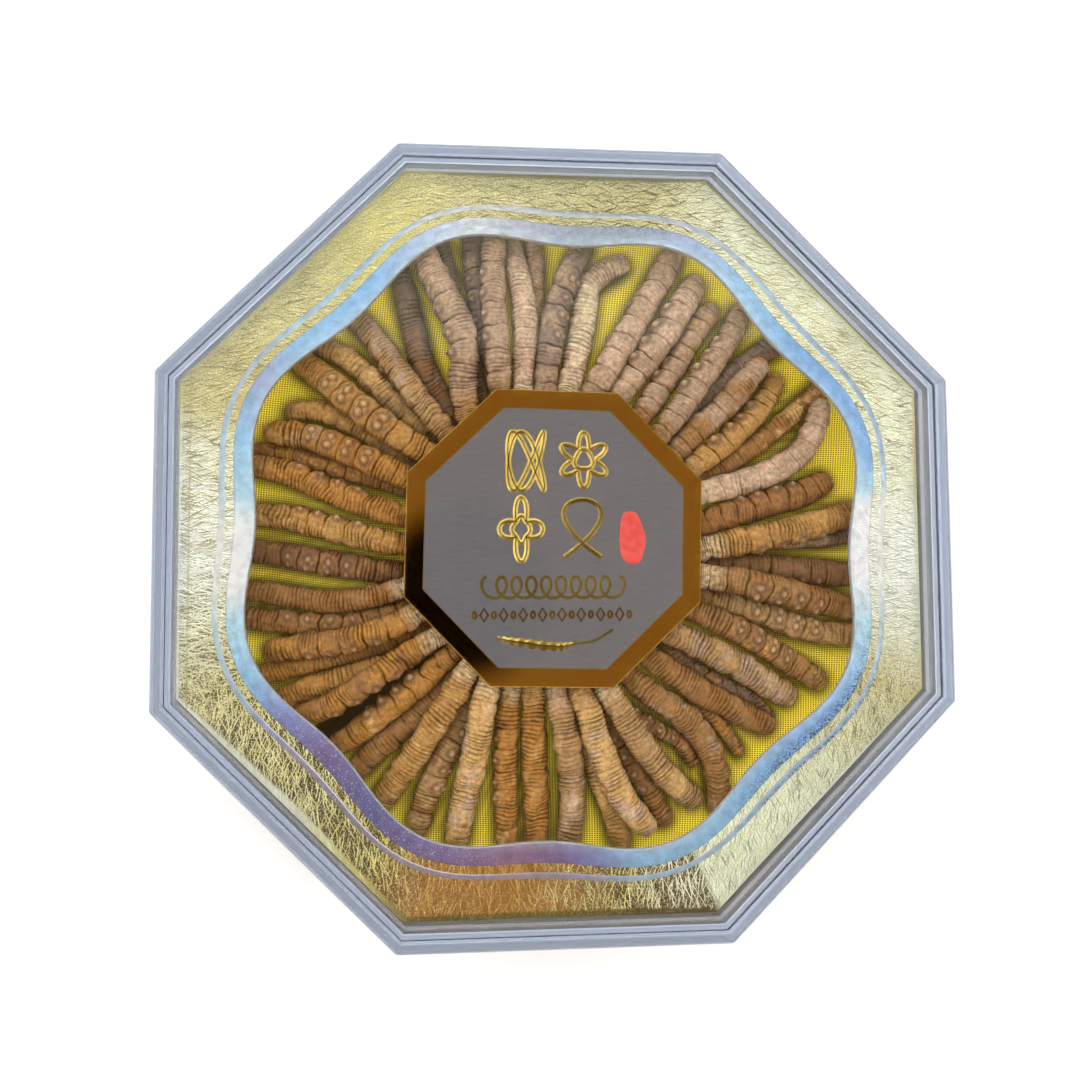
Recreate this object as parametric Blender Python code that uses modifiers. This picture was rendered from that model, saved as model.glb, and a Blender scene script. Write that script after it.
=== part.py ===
"""Dried cordyceps laid like the spokes of a wheel in an octagonal clear display box.

Units are metres, +Z is up. The origin is the middle of the box's underside, and the
flats of the octagon face along X and Y. Every specimen is one natural piece: the dried
larva with the stump of its fungus stalk, which points at the middle of the box.
"""
from math import cos, pi, radians, sin

import bmesh
import bpy
import numpy as np

MM = 0.001
GAP = 0.3 * MM                    # left between neighbouring pieces

# ---- box ("half" is half the width across the flats of the octagon) ----
BOX_HALF = 90.0 * MM
FLOOR = 2.0 * MM                  # thickness of the tray's floor
SHOULDER_Z = 19.7 * MM            # the lid's skirt stands on this step of the tray
COLLAR_HALF = 87.3 * MM           # the tray's collar, inside the lid's skirt
COLLAR_TOP = 26.9 * MM
REBATE_HALF = 85.9 * MM           # the mat lies in this rebate of the collar
LEDGE_Z = 24.6 * MM               # and on this ledge
TRAY_INNER_HALF = 83.4 * MM
EDGE_CHAMFER = 0.8 * MM

LID_TOP = 32.0 * MM
LID_RIM_WIDTH = 2.4 * MM          # raised rim round the lid's top
LID_RIM_RISE = 0.6 * MM
LID_PLATE = 1.8 * MM
LID_WALL = 2.4 * MM
LID_INNER_CHAMFER = 1.5 * MM

# ---- mat: a gold sheet with a scalloped window ----
MAT_HALF = 85.0 * MM
MAT_THICK = 1.2 * MM
MAT_CENTRE = (-0.7 * MM, 0.5 * MM)
WINDOW_RADIUS = 71.0 * MM         # mean radius of the window
WINDOW_LOBE = 2.6 * MM            # height of each of its 8 lobes
WINDOW_ROLL = radians(20.3)       # bearing of the first lobe
WINDOW_POINTS = 64

# ---- label: an octagonal card ----
LABEL_HALF = 33.9 * MM
LABEL_THICK = 1.2 * MM
LABEL_CENTRE = (-1.8 * MM, 0.6 * MM)
LABEL_ROLL = radians(-1.4)
LABEL_Z = 25.4 * MM               # its underside

# ---- pad: foam wrapped in silk, crowned, with a block in the middle that carries the label ----
PAD_HALF = 83.0 * MM
PAD_BOTTOM = FLOOR + GAP
PAD_TOP_HALVES = np.array((0.0, 19.5, 20.5, 34.0, 45.0, 56.0, 67.0, 78.0, 81.5)) * MM
PAD_TOP_HEIGHTS = np.array((25.1, 25.1, 15.5, 15.5, 15.1, 14.3, 13.4, 13.0, 12.4)) * MM
PAD_SIDE_TOP = 11.0 * MM

# ---- specimens ----
WREATH_CENTRE = (-1.2 * MM, 0.6 * MM)
STALK_END = 24.0 * MM             # distance of the stalk's end from the wreath's centre
STALK_RADIUS = 0.9 * MM
HEAD_DISTANCE = {"lower": 33.0 * MM, "upper": 30.0 * MM}
BEARING_STATIONS = (40.0 * MM, 52.0 * MM, 64.0 * MM)
# share of the body's length, share of its full radius
BODY_STATIONS = ((0.0, 0.46), (0.07, 0.72), (0.25, 0.92), (0.43, 1.0), (0.61, 1.0),
                 (0.79, 0.98), (0.93, 0.90), (1.0, 0.52))
HEAD_LIFT = 2.7 * MM              # an upper head is wedged this far above the pad by its neighbours
LIFT_ENDS = 60.0 * MM             # and lies on the pad or on what is below from here outwards
STIFFNESS_SPAN = 11               # samples over which a body stays nearly straight
SAMPLE_STEP = 1.0 * MM

SKIN_TONES = {
    "pale": (0.60, 0.42, 0.20),
    "tan": (0.48, 0.29, 0.12),
    "amber": (0.45, 0.20, 0.055),
    "russet": (0.27, 0.10, 0.04),
    "brown": (0.24, 0.12, 0.055),
    "mauve": (0.25, 0.16, 0.12),
    "dark": (0.12, 0.085, 0.075),
}

# Each specimen as it lies: layer, skin tone, width in mm, distance of its tail from the
# wreath's centre in mm, and its bearing in degrees at the head, at 40, 52 and 64 mm and
# at the tail.
SPECIMENS = (
    ("lower", "dark", 5.5, 77, (130.5, 129, 126.5, 122, 119)),
    ("lower", "brown", 5.3, 74, (139.5, 139, 139, 138.5, 140.5)),
    ("lower", "brown", 5.3, 70, (152, 152, 150, 151.5, 154.5)),
    ("lower", "dark", 4.3, 74, (161, 161, 161.5, 162, 163)),
    ("lower", "brown", 5.7, 73, (193.5, 190.5, 186, 183, 181.5)),
    ("lower", "brown", 5.3, 77, (204, 204, 202.5, 197.5, 193)),
    ("lower", "tan", 4.8, 77, (213, 212, 209.5, 206.5, 204)),
    ("lower", "tan", 5.7, 76, (221, 219.5, 215.5, 211.5, 210)),
    ("lower", "mauve", 5.7, 73, (235.5, 234, 231.5, 229.5, 229)),
    ("lower", "dark", 5.7, 76, (243.5, 243, 242.5, 243, 244.5)),
    ("lower", "brown", 5.7, 75, (276, 277, 279.5, 282, 282.5)),
    ("lower", "brown", 5.3, 73, (284.5, 286, 288, 290.5, 291.5)),
    ("lower", "tan", 5.7, 80, (338.5, 339.5, 340.5, 340.5, 343)),
    ("lower", "dark", 6.3, 76, (350.5, 351.5, 352.5, 353, 353.5)),
    ("lower", "dark", 3.8, 76, (359, 359, 359.5, 360, 361)),
    ("lower", "brown", 4.8, 80, (21, 22.5, 24.5, 27, 30)),
    ("lower", "dark", 5.7, 76, (45, 44.5, 43, 42, 41)),
    ("lower", "brown", 4.3, 75, (95, 95, 94.5, 93.5, 93.5)),
    ("lower", "dark", 5.1, 78, (108, 108.5, 108, 106.5, 104.5)),
    ("lower", "dark", 4.3, 80, (117, 116, 113.5, 112, 110)),
    ("upper", "amber", 6.5, 78, (129, 122, 114.5, 114.5, 114)),
    ("upper", "tan", 5.5, 74, (136.5, 135, 133, 131.5, 131.5)),
    ("upper", "tan", 6.5, 76, (146, 146.5, 146.5, 145, 144.5)),
    ("upper", "tan", 6.0, 72, (157, 157.5, 157, 157.5, 159.5)),
    ("upper", "amber", 5.7, 74, (171.5, 170.5, 168, 166, 166)),
    ("upper", "tan", 5.7, 72, (183, 180.5, 177, 175, 175)),
    ("upper", "russet", 5.1, 75, (197.5, 197.5, 196, 191.5, 188.5)),
    ("upper", "tan", 5.7, 72, (207.5, 208, 206, 202.5, 201)),
    ("upper", "tan", 5.3, 74, (221, 218, 217, 216, 214)),
    ("upper", "amber", 5.7, 71, (228.5, 227, 225.5, 224, 223)),
    ("upper", "tan", 6.0, 75, (236, 236, 236.5, 236.5, 236)),
    ("upper", "pale", 6.1, 76, (244, 245.5, 249, 250.5, 252)),
    ("upper", "amber", 5.3, 74, (252, 254, 257, 259.5, 261.5)),
    ("upper", "brown", 5.7, 73, (260, 262.5, 264.5, 266, 266.5)),
    ("upper", "mauve", 6.0, 73, (268.5, 271.5, 273.5, 273.5, 272)),
    ("upper", "tan", 6.1, 72, (277, 280, 282, 285, 288)),
    ("upper", "mauve", 6.0, 72, (286, 289.5, 292.5, 296, 299)),
    ("upper", "mauve", 6.0, 76, (295.5, 300, 306, 306, 301)),
    ("upper", "mauve", 6.0, 70, (306, 310.5, 314.5, 318, 319.5)),
    ("upper", "tan", 6.5, 70, (319, 323, 325.5, 326, 326.5)),
    ("upper", "brown", 5.7, 75, (331, 333, 333.5, 332.5, 332)),
    ("upper", "mauve", 6.3, 78, (344.5, 346.5, 347, 347, 347)),
    ("upper", "amber", 6.3, 76, (354.5, 358, 361, 363.5, 365.5)),
    ("upper", "russet", 6.5, 70, (4, 7.5, 9.5, 11, 12.5)),
    ("upper", "pale", 6.0, 74, (17.5, 17, 17, 19.5, 27.5)),
    ("upper", "tan", 5.7, 69, (25.5, 28, 30.5, 34, 36)),
    ("upper", "brown", 5.9, 66, (34, 37, 38, 40, 40)),
    ("upper", "tan", 5.7, 75, (43.5, 45.5, 47.5, 48.5, 50.5)),
    ("upper", "mauve", 6.0, 70, (54.5, 54.5, 55, 55.5, 55)),
    ("upper", "mauve", 6.5, 74, (67.5, 65, 62, 61, 60.5)),
    ("upper", "russet", 6.3, 78, (77, 73.5, 70, 68, 66.5)),
    ("upper", "tan", 6.0, 71, (86, 83.5, 82, 81, 74.5)),
    ("upper", "dark", 5.7, 74, (95, 92.5, 90, 86.5, 83)),
    ("upper", "pale", 5.5, 75, (104, 100.5, 97.5, 97.5, 98)),
    ("upper", "tan", 5.7, 77, (113, 109, 105.5, 103, 100)),
)


# ---------------------------------------------------------------- scene and materials

def clear_scene():
    for obj in list(bpy.data.objects):
        bpy.data.objects.remove(obj, do_unlink=True)


def new_collection(name):
    collection = bpy.data.collections.new(name)
    bpy.context.scene.collection.children.link(collection)
    return collection


def material(name, colour, roughness, metallic=0.0, transmission=0.0):
    mat = bpy.data.materials.new(name)
    mat.use_nodes = True
    shader = mat.node_tree.nodes["Principled BSDF"]
    shader.inputs["Base Color"].default_value = (*colour, 1.0)
    shader.inputs["Roughness"].default_value = roughness
    shader.inputs["Metallic"].default_value = metallic
    shader.inputs["Transmission Weight"].default_value = transmission
    return mat


# ---------------------------------------------------------------- box

def octagonal(name, profile, mat, collection):
    """A closed octagonal solid from a profile of (half width across flats, height).

    The profile runs from the axis, down the outer side and back to the axis.
    """
    mesh = bpy.data.meshes.new(name)
    points = [(half / cos(pi / 8), 0.0, z) for half, z in profile]
    edges = [(i, i + 1) for i in range(len(points) - 1)]
    mesh.from_pydata(points, edges, [])
    mesh.materials.append(mat)
    obj = bpy.data.objects.new(name, mesh)
    obj.rotation_euler.z = pi / 8
    collection.objects.link(obj)
    screw = obj.modifiers.new("Screw", "SCREW")
    screw.angle = 2 * pi
    screw.steps = 8
    screw.render_steps = 8
    screw.use_merge_vertices = True
    screw.merge_threshold = 0.00001
    screw.use_smooth_shade = False
    return obj


def build_tray(mat, collection):
    profile = [
        (0.0, FLOOR),
        (TRAY_INNER_HALF, FLOOR),
        (TRAY_INNER_HALF, LEDGE_Z),
        (REBATE_HALF, LEDGE_Z),
        (REBATE_HALF, COLLAR_TOP),
        (COLLAR_HALF, COLLAR_TOP),
        (COLLAR_HALF, SHOULDER_Z),
        (BOX_HALF, SHOULDER_Z),
        (BOX_HALF, EDGE_CHAMFER),
        (BOX_HALF - EDGE_CHAMFER, 0.0),
        (0.0, 0.0),
    ]
    return octagonal("base_tray", profile, mat, collection)


def build_lid(mat, collection):
    plate_top = LID_TOP - LID_RIM_RISE
    plate_bottom = plate_top - LID_PLATE
    skirt_inner = BOX_HALF - LID_WALL
    rim_inner = BOX_HALF - LID_RIM_WIDTH
    profile = [
        (0.0, plate_top),
        (rim_inner - LID_RIM_RISE, plate_top),
        (rim_inner, LID_TOP),
        (BOX_HALF - EDGE_CHAMFER, LID_TOP),
        (BOX_HALF, LID_TOP - EDGE_CHAMFER),
        (BOX_HALF, SHOULDER_Z + GAP),
        (skirt_inner, SHOULDER_Z + GAP),
        (skirt_inner, plate_bottom - LID_INNER_CHAMFER),
        (skirt_inner - LID_INNER_CHAMFER, plate_bottom),
        (0.0, plate_bottom),
    ]
    return octagonal("lid", profile, mat, collection)


def build_pad(mat, collection):
    profile = list(zip(PAD_TOP_HALVES, PAD_TOP_HEIGHTS))
    profile += [
        (PAD_HALF, PAD_SIDE_TOP),
        (PAD_HALF, PAD_BOTTOM),
        (0.0, PAD_BOTTOM),
    ]
    return octagonal("silk_pad", profile, mat, collection)


def window_radius(bearing):
    """Distance from the window's centre to its scalloped edge."""
    return WINDOW_RADIUS + WINDOW_LOBE * cos(8 * (bearing - WINDOW_ROLL))


def build_mat(mat, collection):
    curve = bpy.data.curves.new("gold_mat", "CURVE")
    curve.dimensions = "2D"
    curve.fill_mode = "BOTH"
    curve.extrude = MAT_THICK / 2
    corner = MAT_HALF / cos(pi / 8)
    outer = [(corner * cos(pi / 8 + k * pi / 4), corner * sin(pi / 8 + k * pi / 4)) for k in range(8)]
    bearings = [2 * pi * k / WINDOW_POINTS for k in range(WINDOW_POINTS)]
    window = [(window_radius(b) * cos(b), window_radius(b) * sin(b)) for b in bearings]
    for outline in (outer, window):
        spline = curve.splines.new("POLY")
        spline.points.add(len(outline) - 1)
        spline.use_cyclic_u = True
        for point, (x, y) in zip(spline.points, outline):
            point.co = (x, y, 0.0, 1.0)
    curve.materials.append(mat)
    obj = bpy.data.objects.new("gold_mat", curve)
    obj.location = (*MAT_CENTRE, LEDGE_Z + GAP + MAT_THICK / 2)
    collection.objects.link(obj)
    return obj


def build_label(mat, collection):
    mesh = bpy.data.meshes.new("centre_label")
    bm = bmesh.new()
    corner = LABEL_HALF / cos(pi / 8)
    bmesh.ops.create_cone(bm, cap_ends=True, segments=8, radius1=corner, radius2=corner,
                          depth=LABEL_THICK)
    bm.to_mesh(mesh)
    bm.free()
    mesh.materials.append(mat)
    obj = bpy.data.objects.new("centre_label", mesh)
    obj.location = (*LABEL_CENTRE, LABEL_Z + LABEL_THICK / 2)
    obj.rotation_euler.z = pi / 8 + LABEL_ROLL
    collection.objects.link(obj)
    return obj


# ---------------------------------------------------------------- specimens

def smooth_through(stations, values, at):
    """Values read from a smooth curve through the given ones (cubic Hermite)."""
    slopes = np.gradient(values, stations)
    left = np.clip(np.searchsorted(stations, at) - 1, 0, len(stations) - 2)
    width = stations[left + 1] - stations[left]
    t = (at - stations[left]) / width
    return ((2 * t**3 - 3 * t**2 + 1) * values[left]
            + (t**3 - 2 * t**2 + t) * width * slopes[left]
            + (3 * t**2 - 2 * t**3) * values[left + 1]
            + (t**3 - t**2) * width * slopes[left + 1])


def plan_of(layer, width, tail, bearings):
    """Plan position (x, y) and radius at each control point, from the stalk to the tail."""
    head = HEAD_DISTANCE[layer]
    tail = tail * MM
    stations = np.array((head, *BEARING_STATIONS, tail))
    turn = np.radians(np.array(bearings, dtype=float))
    share = np.array([s for s, _ in BODY_STATIONS])
    distance = head + share * (tail - head)
    radius = 0.5 * width * MM * np.array([r for _, r in BODY_STATIONS])
    bearing = smooth_through(stations, turn, distance)
    # the stalk runs on from the head towards the middle
    distance = np.concatenate(((STALK_END, head - 1.0 * MM), distance))
    bearing = np.concatenate(((turn[0], turn[0]), bearing))
    radius = np.concatenate(((0.7 * STALK_RADIUS, STALK_RADIUS), radius))
    x = WREATH_CENTRE[0] + distance * np.cos(bearing)
    y = WREATH_CENTRE[1] + distance * np.sin(bearing)
    return np.stack((x, y), axis=1), radius


def sampled(plan, radius):
    """The straight stretches between control points, cut into short steps."""
    xy, rad, place = [], [], []
    for i in range(len(plan) - 1):
        steps = max(1, int(round(np.linalg.norm(plan[i + 1] - plan[i]) / SAMPLE_STEP)))
        for t in np.arange(steps) / steps:
            xy.append(plan[i] * (1 - t) + plan[i + 1] * t)
            rad.append(radius[i] * (1 - t) + radius[i + 1] * t)
            place.append(i + t)
    xy.append(plan[-1])
    rad.append(radius[-1])
    place.append(len(plan) - 1.0)
    return np.array(xy), np.array(rad), np.array(place)


def pad_height(xy):
    """Height of the crowned pad under each point; its contours are octagons."""
    facing = np.arange(8) * pi / 4
    half = (xy[:, :1] * np.cos(facing) + xy[:, 1:] * np.sin(facing)).max(axis=1)
    return np.interp(half, PAD_TOP_HALVES, PAD_TOP_HEIGHTS)


def lowest_height(layer, xy, rad, laid):
    """The lowest centre height that clears the pad and every specimen already laid."""
    need = pad_height(xy) + rad + GAP
    if layer == "upper":
        distance = np.hypot(xy[:, 0] - WREATH_CENTRE[0], xy[:, 1] - WREATH_CENTRE[1])
        head = HEAD_DISTANCE[layer]
        need = need + HEAD_LIFT * np.clip((LIFT_ENDS - distance) / (LIFT_ENDS - head), 0.0, 1.0)
    for other_xy, other_z, other_rad in laid:
        reach = rad[:, None] + other_rad + GAP
        apart = ((xy[:, None, :] - other_xy) ** 2).sum(axis=2)
        over = reach**2 - apart
        lift = np.where(over > 0, other_z + np.sqrt(np.clip(over, 0, None)), 0.0)
        need = np.maximum(need, lift.max(axis=1))
    return need


def stiffened(need):
    """The same heights with the bends of a stiff body: smooth, and nowhere too low."""
    kernel = np.hanning(STIFFNESS_SPAN + 2)[1:-1]
    kernel /= kernel.sum()
    half = STIFFNESS_SPAN // 2
    height = need.copy()
    for _ in range(40):
        padded = np.pad(height, half, mode="reflect", reflect_type="odd")
        height = np.maximum(need, np.convolve(padded, kernel, "valid"))
    return height


def settle(specimens):
    """Lay the specimens one by one; gives each one's control points and radii."""
    laid, result = [], []
    for layer, _, width, tail, bearings in specimens:
        plan, radius = plan_of(layer, width, tail, bearings)
        xy, rad, place = sampled(plan, radius)
        need = lowest_height(layer, xy, rad, laid)
        control = np.interp(np.arange(len(plan)), place, stiffened(need))
        for _ in range(30):
            short = np.clip(need - np.interp(place, np.arange(len(plan)), control), 0.0, None)
            for i in range(len(plan)):
                near = np.abs(place - i) < 1.0
                control[i] += short[near].max()
        laid.append((xy, np.interp(place, np.arange(len(plan)), control), rad))
        result.append((np.column_stack((plan, control)), radius))
    return result


def build_specimen(name, points, radii, mat, collection):
    """A specimen is a tube of changing radius through its control points."""
    curve = bpy.data.curves.new(name, "CURVE")
    curve.dimensions = "3D"
    curve.bevel_depth = float(radii.max())
    curve.bevel_resolution = 2
    curve.use_fill_caps = True
    spline = curve.splines.new("POLY")
    spline.points.add(len(points) - 1)
    for point, place, radius in zip(spline.points, points, radii):
        point.co = (*place, 1.0)
        point.radius = radius / curve.bevel_depth
    curve.materials.append(mat)
    obj = bpy.data.objects.new(name, curve)
    collection.objects.link(obj)
    return obj


def main():
    clear_scene()
    collection = new_collection("dried_cordyceps_display_box")
    clear_plastic = material("clear_plastic", (0.93, 0.95, 0.98), 0.06, transmission=1.0)
    yellow_silk = material("yellow_silk", (0.56, 0.43, 0.03), 0.55)
    gold_foil = material("gold_foil", (0.78, 0.66, 0.30), 0.28, metallic=1.0)
    label_card = material("label_card", (0.17, 0.15, 0.16), 0.5)
    skins = {tone: material("skin_" + tone, colour, 0.75) for tone, colour in SKIN_TONES.items()}
    build_tray(clear_plastic, collection)
    build_lid(clear_plastic, collection)
    build_pad(yellow_silk, collection)
    build_mat(gold_foil, collection)
    build_label(label_card, collection)
    laid = zip(SPECIMENS, settle(SPECIMENS))
    for number, ((_, tone, *_), (points, radii)) in enumerate(laid, start=1):
        build_specimen(f"cordyceps_{number:02d}", points, radii, skins[tone], collection)


main()
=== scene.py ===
"""Looks of the dried cordyceps in their octagonal display box. Metres, +Z up.

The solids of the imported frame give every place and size. Each specimen's solid is a plain
tube; here it gets its skin folds, segments, feet and colours along the same centre line.
"""
import math
import bpy
import numpy as np
from mathutils import Matrix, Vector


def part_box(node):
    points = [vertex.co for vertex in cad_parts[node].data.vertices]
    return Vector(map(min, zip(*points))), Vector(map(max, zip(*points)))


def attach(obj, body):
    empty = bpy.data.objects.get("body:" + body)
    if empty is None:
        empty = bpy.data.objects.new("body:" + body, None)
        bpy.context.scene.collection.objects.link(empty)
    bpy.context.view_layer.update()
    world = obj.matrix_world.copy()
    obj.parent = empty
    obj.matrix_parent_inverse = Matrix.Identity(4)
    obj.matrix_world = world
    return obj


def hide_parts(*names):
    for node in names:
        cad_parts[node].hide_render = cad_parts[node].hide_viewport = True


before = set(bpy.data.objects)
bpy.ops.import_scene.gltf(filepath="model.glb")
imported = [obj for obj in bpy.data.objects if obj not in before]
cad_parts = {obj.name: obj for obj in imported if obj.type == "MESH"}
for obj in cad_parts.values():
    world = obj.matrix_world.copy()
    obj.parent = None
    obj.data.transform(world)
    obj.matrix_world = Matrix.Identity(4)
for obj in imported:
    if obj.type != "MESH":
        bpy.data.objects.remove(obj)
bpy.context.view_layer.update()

MM = 0.001
EIGHTH = math.pi / 4
HALF_EIGHTH = math.pi / 8

# ---- camera: its place above the box and its turns about X, Y and Z ----
CAMERA_PLACE = (-22.5 * MM, -11.6 * MM, 242.8 * MM)
CAMERA_TURNS = (-3.109, 4.574, 0.068)     # degrees
FOCAL_PIXELS = 950
IMAGE_PIXELS = 1080
SENSOR_WIDTH = 36.0

# ---- box, as in the solids ----
PLASTIC_IOR = 1.49
CORE_HALF = 10 * MM               # the flat middles of lid and tray close with an octagon this wide
BOX_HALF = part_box("lid")[1][0]
LID_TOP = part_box("lid")[1][2]
LID_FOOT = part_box("lid")[0][2]
LID_RIM_WIDTH = 2.4 * MM
LID_RIM_RISE = 0.6 * MM
LID_PLATE = 1.8 * MM
LID_WALL = 2.4 * MM
LID_INNER_CHAMFER = 1.5 * MM
TRAY_FLOOR = 2.0 * MM
TRAY_SHOULDER = 19.7 * MM
TRAY_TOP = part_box("base_tray")[1][2]
TRAY_COLLAR_HALF = 87.3 * MM
TRAY_REBATE_HALF = 85.9 * MM
TRAY_LEDGE = 24.6 * MM
TRAY_INNER_HALF = 83.4 * MM
PLATE_HALF = BOX_HALF / 2         # faces within this distance belong to the clear flat middle
WALL_SPAN = 0.9                   # corners of a wall's face are about this equally far out
EDGE_CHAMFER = 0.8 * MM
OUTER_FILLET = 1.6 * MM

# ---- mat ----
MAT_LOW, MAT_HIGH = (corner[2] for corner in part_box("gold_mat"))
MAT_HALF = 85.0 * MM
MAT_CENTRE = (-0.7 * MM, 0.5 * MM)
WINDOW_RADIUS = 71.0 * MM
WINDOW_LOBE = 2.6 * MM
WINDOW_ROLL = math.radians(20.3)
WINDOW_EDGE = 0.2 * MM            # width of the pale cut edge
WIDE_BAND = (0.2 * MM, 4.3 * MM)     # prismatic bands, as distances from the window's edge
THIN_BAND = (6.2 * MM, 7.5 * MM)
BAND_STRAIGHTENING = 0.08         # the bands' lobes are this much flatter, as a share of the distance
CREASE_PLACE = -83.4 * MM         # a crease runs along the mat's left side, drawn as a line of painted shade
FOIL_METAL = 0.5
STROKE_SIZE = (5.5 * MM, 0.32 * MM, 1.0)
FOIL_UNEVENNESS = 0.025 * MM
EDGE_SOFTNESS = 0.5 * MM          # over this distance the foil turns into its outermost part
MAT_BEARINGS = 720

# ---- label ----
LABEL_LOW, LABEL_HIGH = (corner[2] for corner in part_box("centre_label"))
LABEL_HALF = 33.9 * MM
LABEL_PANEL_HALF = 29.6 * MM
LABEL_CENTRE = (-1.8 * MM, 0.6 * MM)
LABEL_ROLL = math.radians(-1.4)
LABEL_RECESS = 0.25 * MM
ORNAMENT_LOW = LABEL_HIGH - LABEL_RECESS - 0.02 * MM
ORNAMENT_HIGH = LABEL_HIGH - 0.03 * MM

# ---- pad ----
PAD_HALF = 83.0 * MM
PAD_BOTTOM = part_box("silk_pad")[0][2]
PAD_TOP_HALVES = np.array((0.0, 34.0, 45.0, 56.0, 67.0, 78.0, 81.5)) * MM
PAD_TOP_HEIGHTS = np.array((15.5, 15.5, 15.1, 14.3, 13.4, 13.0, 12.4)) * MM
PAD_LOOPS = 90
PAD_BEARINGS = 320
PAD_RISE = 0.2 * MM               # the silk swells this much above its solid, up to the specimens
PAD_WAVES = 14
WAVE_HEIGHT = 0.35 * MM
PAD_CONTACT_SHADE = 0.92                  # darkness of the painted shadow on the silk where a specimen touches it
CONTACT_SHADE_REACH = 2.0 * MM
CONTACT_SHADE_HEIGHTS = (1.0, 1.0, 0.4)     # heights count less towards that reach, so deep gaps get dark painted shade
THREAD_PITCHES = (0.62 * MM, 0.52 * MM)
TUCK_DARK = 2.5 * MM              # the painted shade of the silk in a tuck is darkest at this depth
# Deep tucks in the silk, whose painted shade shows dark between specimens: their two ends, half width,
# depth.
TUCKS = (((-46, -26.5), (-32, -19.5), 2.4, 6.0), ((-56, -45), (-33, -29.5), 2.6, 6.5))

# ---- light: soft panels that add up, each with where it starts, where it is at its full radiance,
# both as sines of the angle from straight up towards its side, and that radiance ----
PANELS = (
    ("around", 0.07, 0.11, (0.22, 0.14, 0.05)),
    ("left", 0.20, 0.27, (0.7, 0.7, 0.68)),
    ("left", 0.42, 0.62, (3.9, 4.0, 4.2)),
    ("right", 0.37, 0.43, (0.5, 0.5, 0.49)),
    ("right", 0.48, 0.66, (3.9, 4.0, 4.2)),
    ("back", 0.235, 0.262, (0.55, 0.62, 0.50)),
    ("back", 0.46, 0.64, (4.8, 4.9, 5.1)),
    ("front", 0.20, 0.30, (0.22, 0.12, 0.05)),
    ("front", 0.55, 0.80, (1.2, 1.16, 1.1)),
)
FLOOR_HALF = 1.5
HORIZON = (0.70, 0.71, 0.73)
HORIZON_FADE = (0.40, 0.65)       # the panels end at these heights, as sines of the elevation

# ---- colours (linear) ----
SKIN_TONES = {
    "cream": (0.78, 0.60, 0.36),
    "blush": (0.62, 0.40, 0.26),
    "pale": (0.66, 0.38, 0.12),
    "mauve": (0.45, 0.28, 0.17),
    "tan": (0.47, 0.26, 0.09),
    "honey": (0.50, 0.24, 0.045),
    "amber": (0.46, 0.185, 0.012),
    "brown": (0.33, 0.145, 0.030),
    "russet": (0.29, 0.105, 0.008),
    "grey": (0.24, 0.155, 0.11),
    "dark": (0.17, 0.095, 0.06),
    "umber": (0.18, 0.06, 0.008),
}
# Painted shade in the folds, and where bodies touch and on the undersides.
FOLD_SHADE = (0.050, 0.016, 0.004)
# A pale dusty tone with a painted highlight on the ridges of the folds.
RIDGE_DUST_AND_HIGHLIGHT = (0.92, 0.70, 0.46)
# Painted shade in the grooves round the feet.
FOOT_SHADE = (0.17, 0.075, 0.04)
# The feet's tips: a paler tone with a painted highlight.
FOOT_TIP_TONE_AND_HIGHLIGHT = (0.86, 0.68, 0.50)


# ---------------------------------------------------------------- materials

def new_material(name):
    material = bpy.data.materials.new(name)
    material.use_nodes = True
    return material, material.node_tree


def join(node, inputs):
    """Give each named input of a node a value or another node's output."""
    for key, value in inputs.items():
        target = node.inputs[key]
        if isinstance(value, bpy.types.NodeSocket):
            node.id_data.links.new(value, target)
        else:
            target.default_value = (*value, 1.0) if target.type == "RGBA" else value
    return node


def surfaced(material, inputs):
    join(material.node_tree.nodes["Principled BSDF"], inputs)
    return material


def add(tree, kind, inputs=None, **settings):
    made = tree.nodes.new("ShaderNode" + kind)
    for key, value in settings.items():
        setattr(made, key, value)
    return join(made, inputs or {})


def fed(kind, inputs, output=0, **settings):
    """An output of a new node, made in the tree of the outputs that feed it."""
    source = next(value for value in inputs.values() if isinstance(value, bpy.types.NodeSocket))
    return add(source.id_data, kind, inputs, **settings).outputs[output]


def maths(operation, *values):
    return fed("Math", dict(enumerate(values)), operation=operation)


def plus(first, second):
    return maths("ADD", first, second)


def minus(first, second):
    return maths("SUBTRACT", first, second)


def times(first, *others):
    for other in others:
        first = maths("MULTIPLY", first, other)
    return first


def ramp(factor, *stops):
    """A colour ramp through (position, colour or grey value)."""
    made = add(factor.id_data, "ValToRGB", {"Fac": factor})
    elements = made.color_ramp.elements
    while len(elements) < len(stops):
        elements.new(0.5)
    for element, (position, colour) in zip(elements, stops):
        element.position = position
        element.color = (*colour, 1.0) if isinstance(colour, tuple) else (colour, colour, colour, 1.0)
    return made.outputs["Color"]


def ranged(value, start, end, interpolation="LINEAR"):
    """0 where value is at start or before it, 1 where it is at end or past it."""
    return fed("MapRange", {"Value": value, "From Min": start, "From Max": end},
               interpolation_type=interpolation)


def mixed(factor, first, second, blend="MIX"):
    return fed("Mix", {"Factor": factor, 6: first, 7: second}, 2, data_type="RGBA", blend_type=blend)


def noise(place, scale, detail=2.0, roughness=0.5, output="Fac"):
    inputs = {"Vector": place, "Scale": scale, "Detail": detail, "Roughness": roughness}
    return fed("TexNoise", inputs, output)


def object_place(tree):
    return add(tree, "TexCoord").outputs["Object"]


def parts(value, kind="XYZ"):
    """The three components of a vector, or of a colour where kind is Color."""
    return fed("Separate" + kind, {0: value}, slice(0, 3))


def attribute(tree, name, output="Color"):
    return add(tree, "Attribute", attribute_name=name).outputs[output]


def bump(height, distance, strength=1.0):
    return fed("Bump", {"Height": height, "Distance": distance, "Strength": strength}, "Normal")


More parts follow.
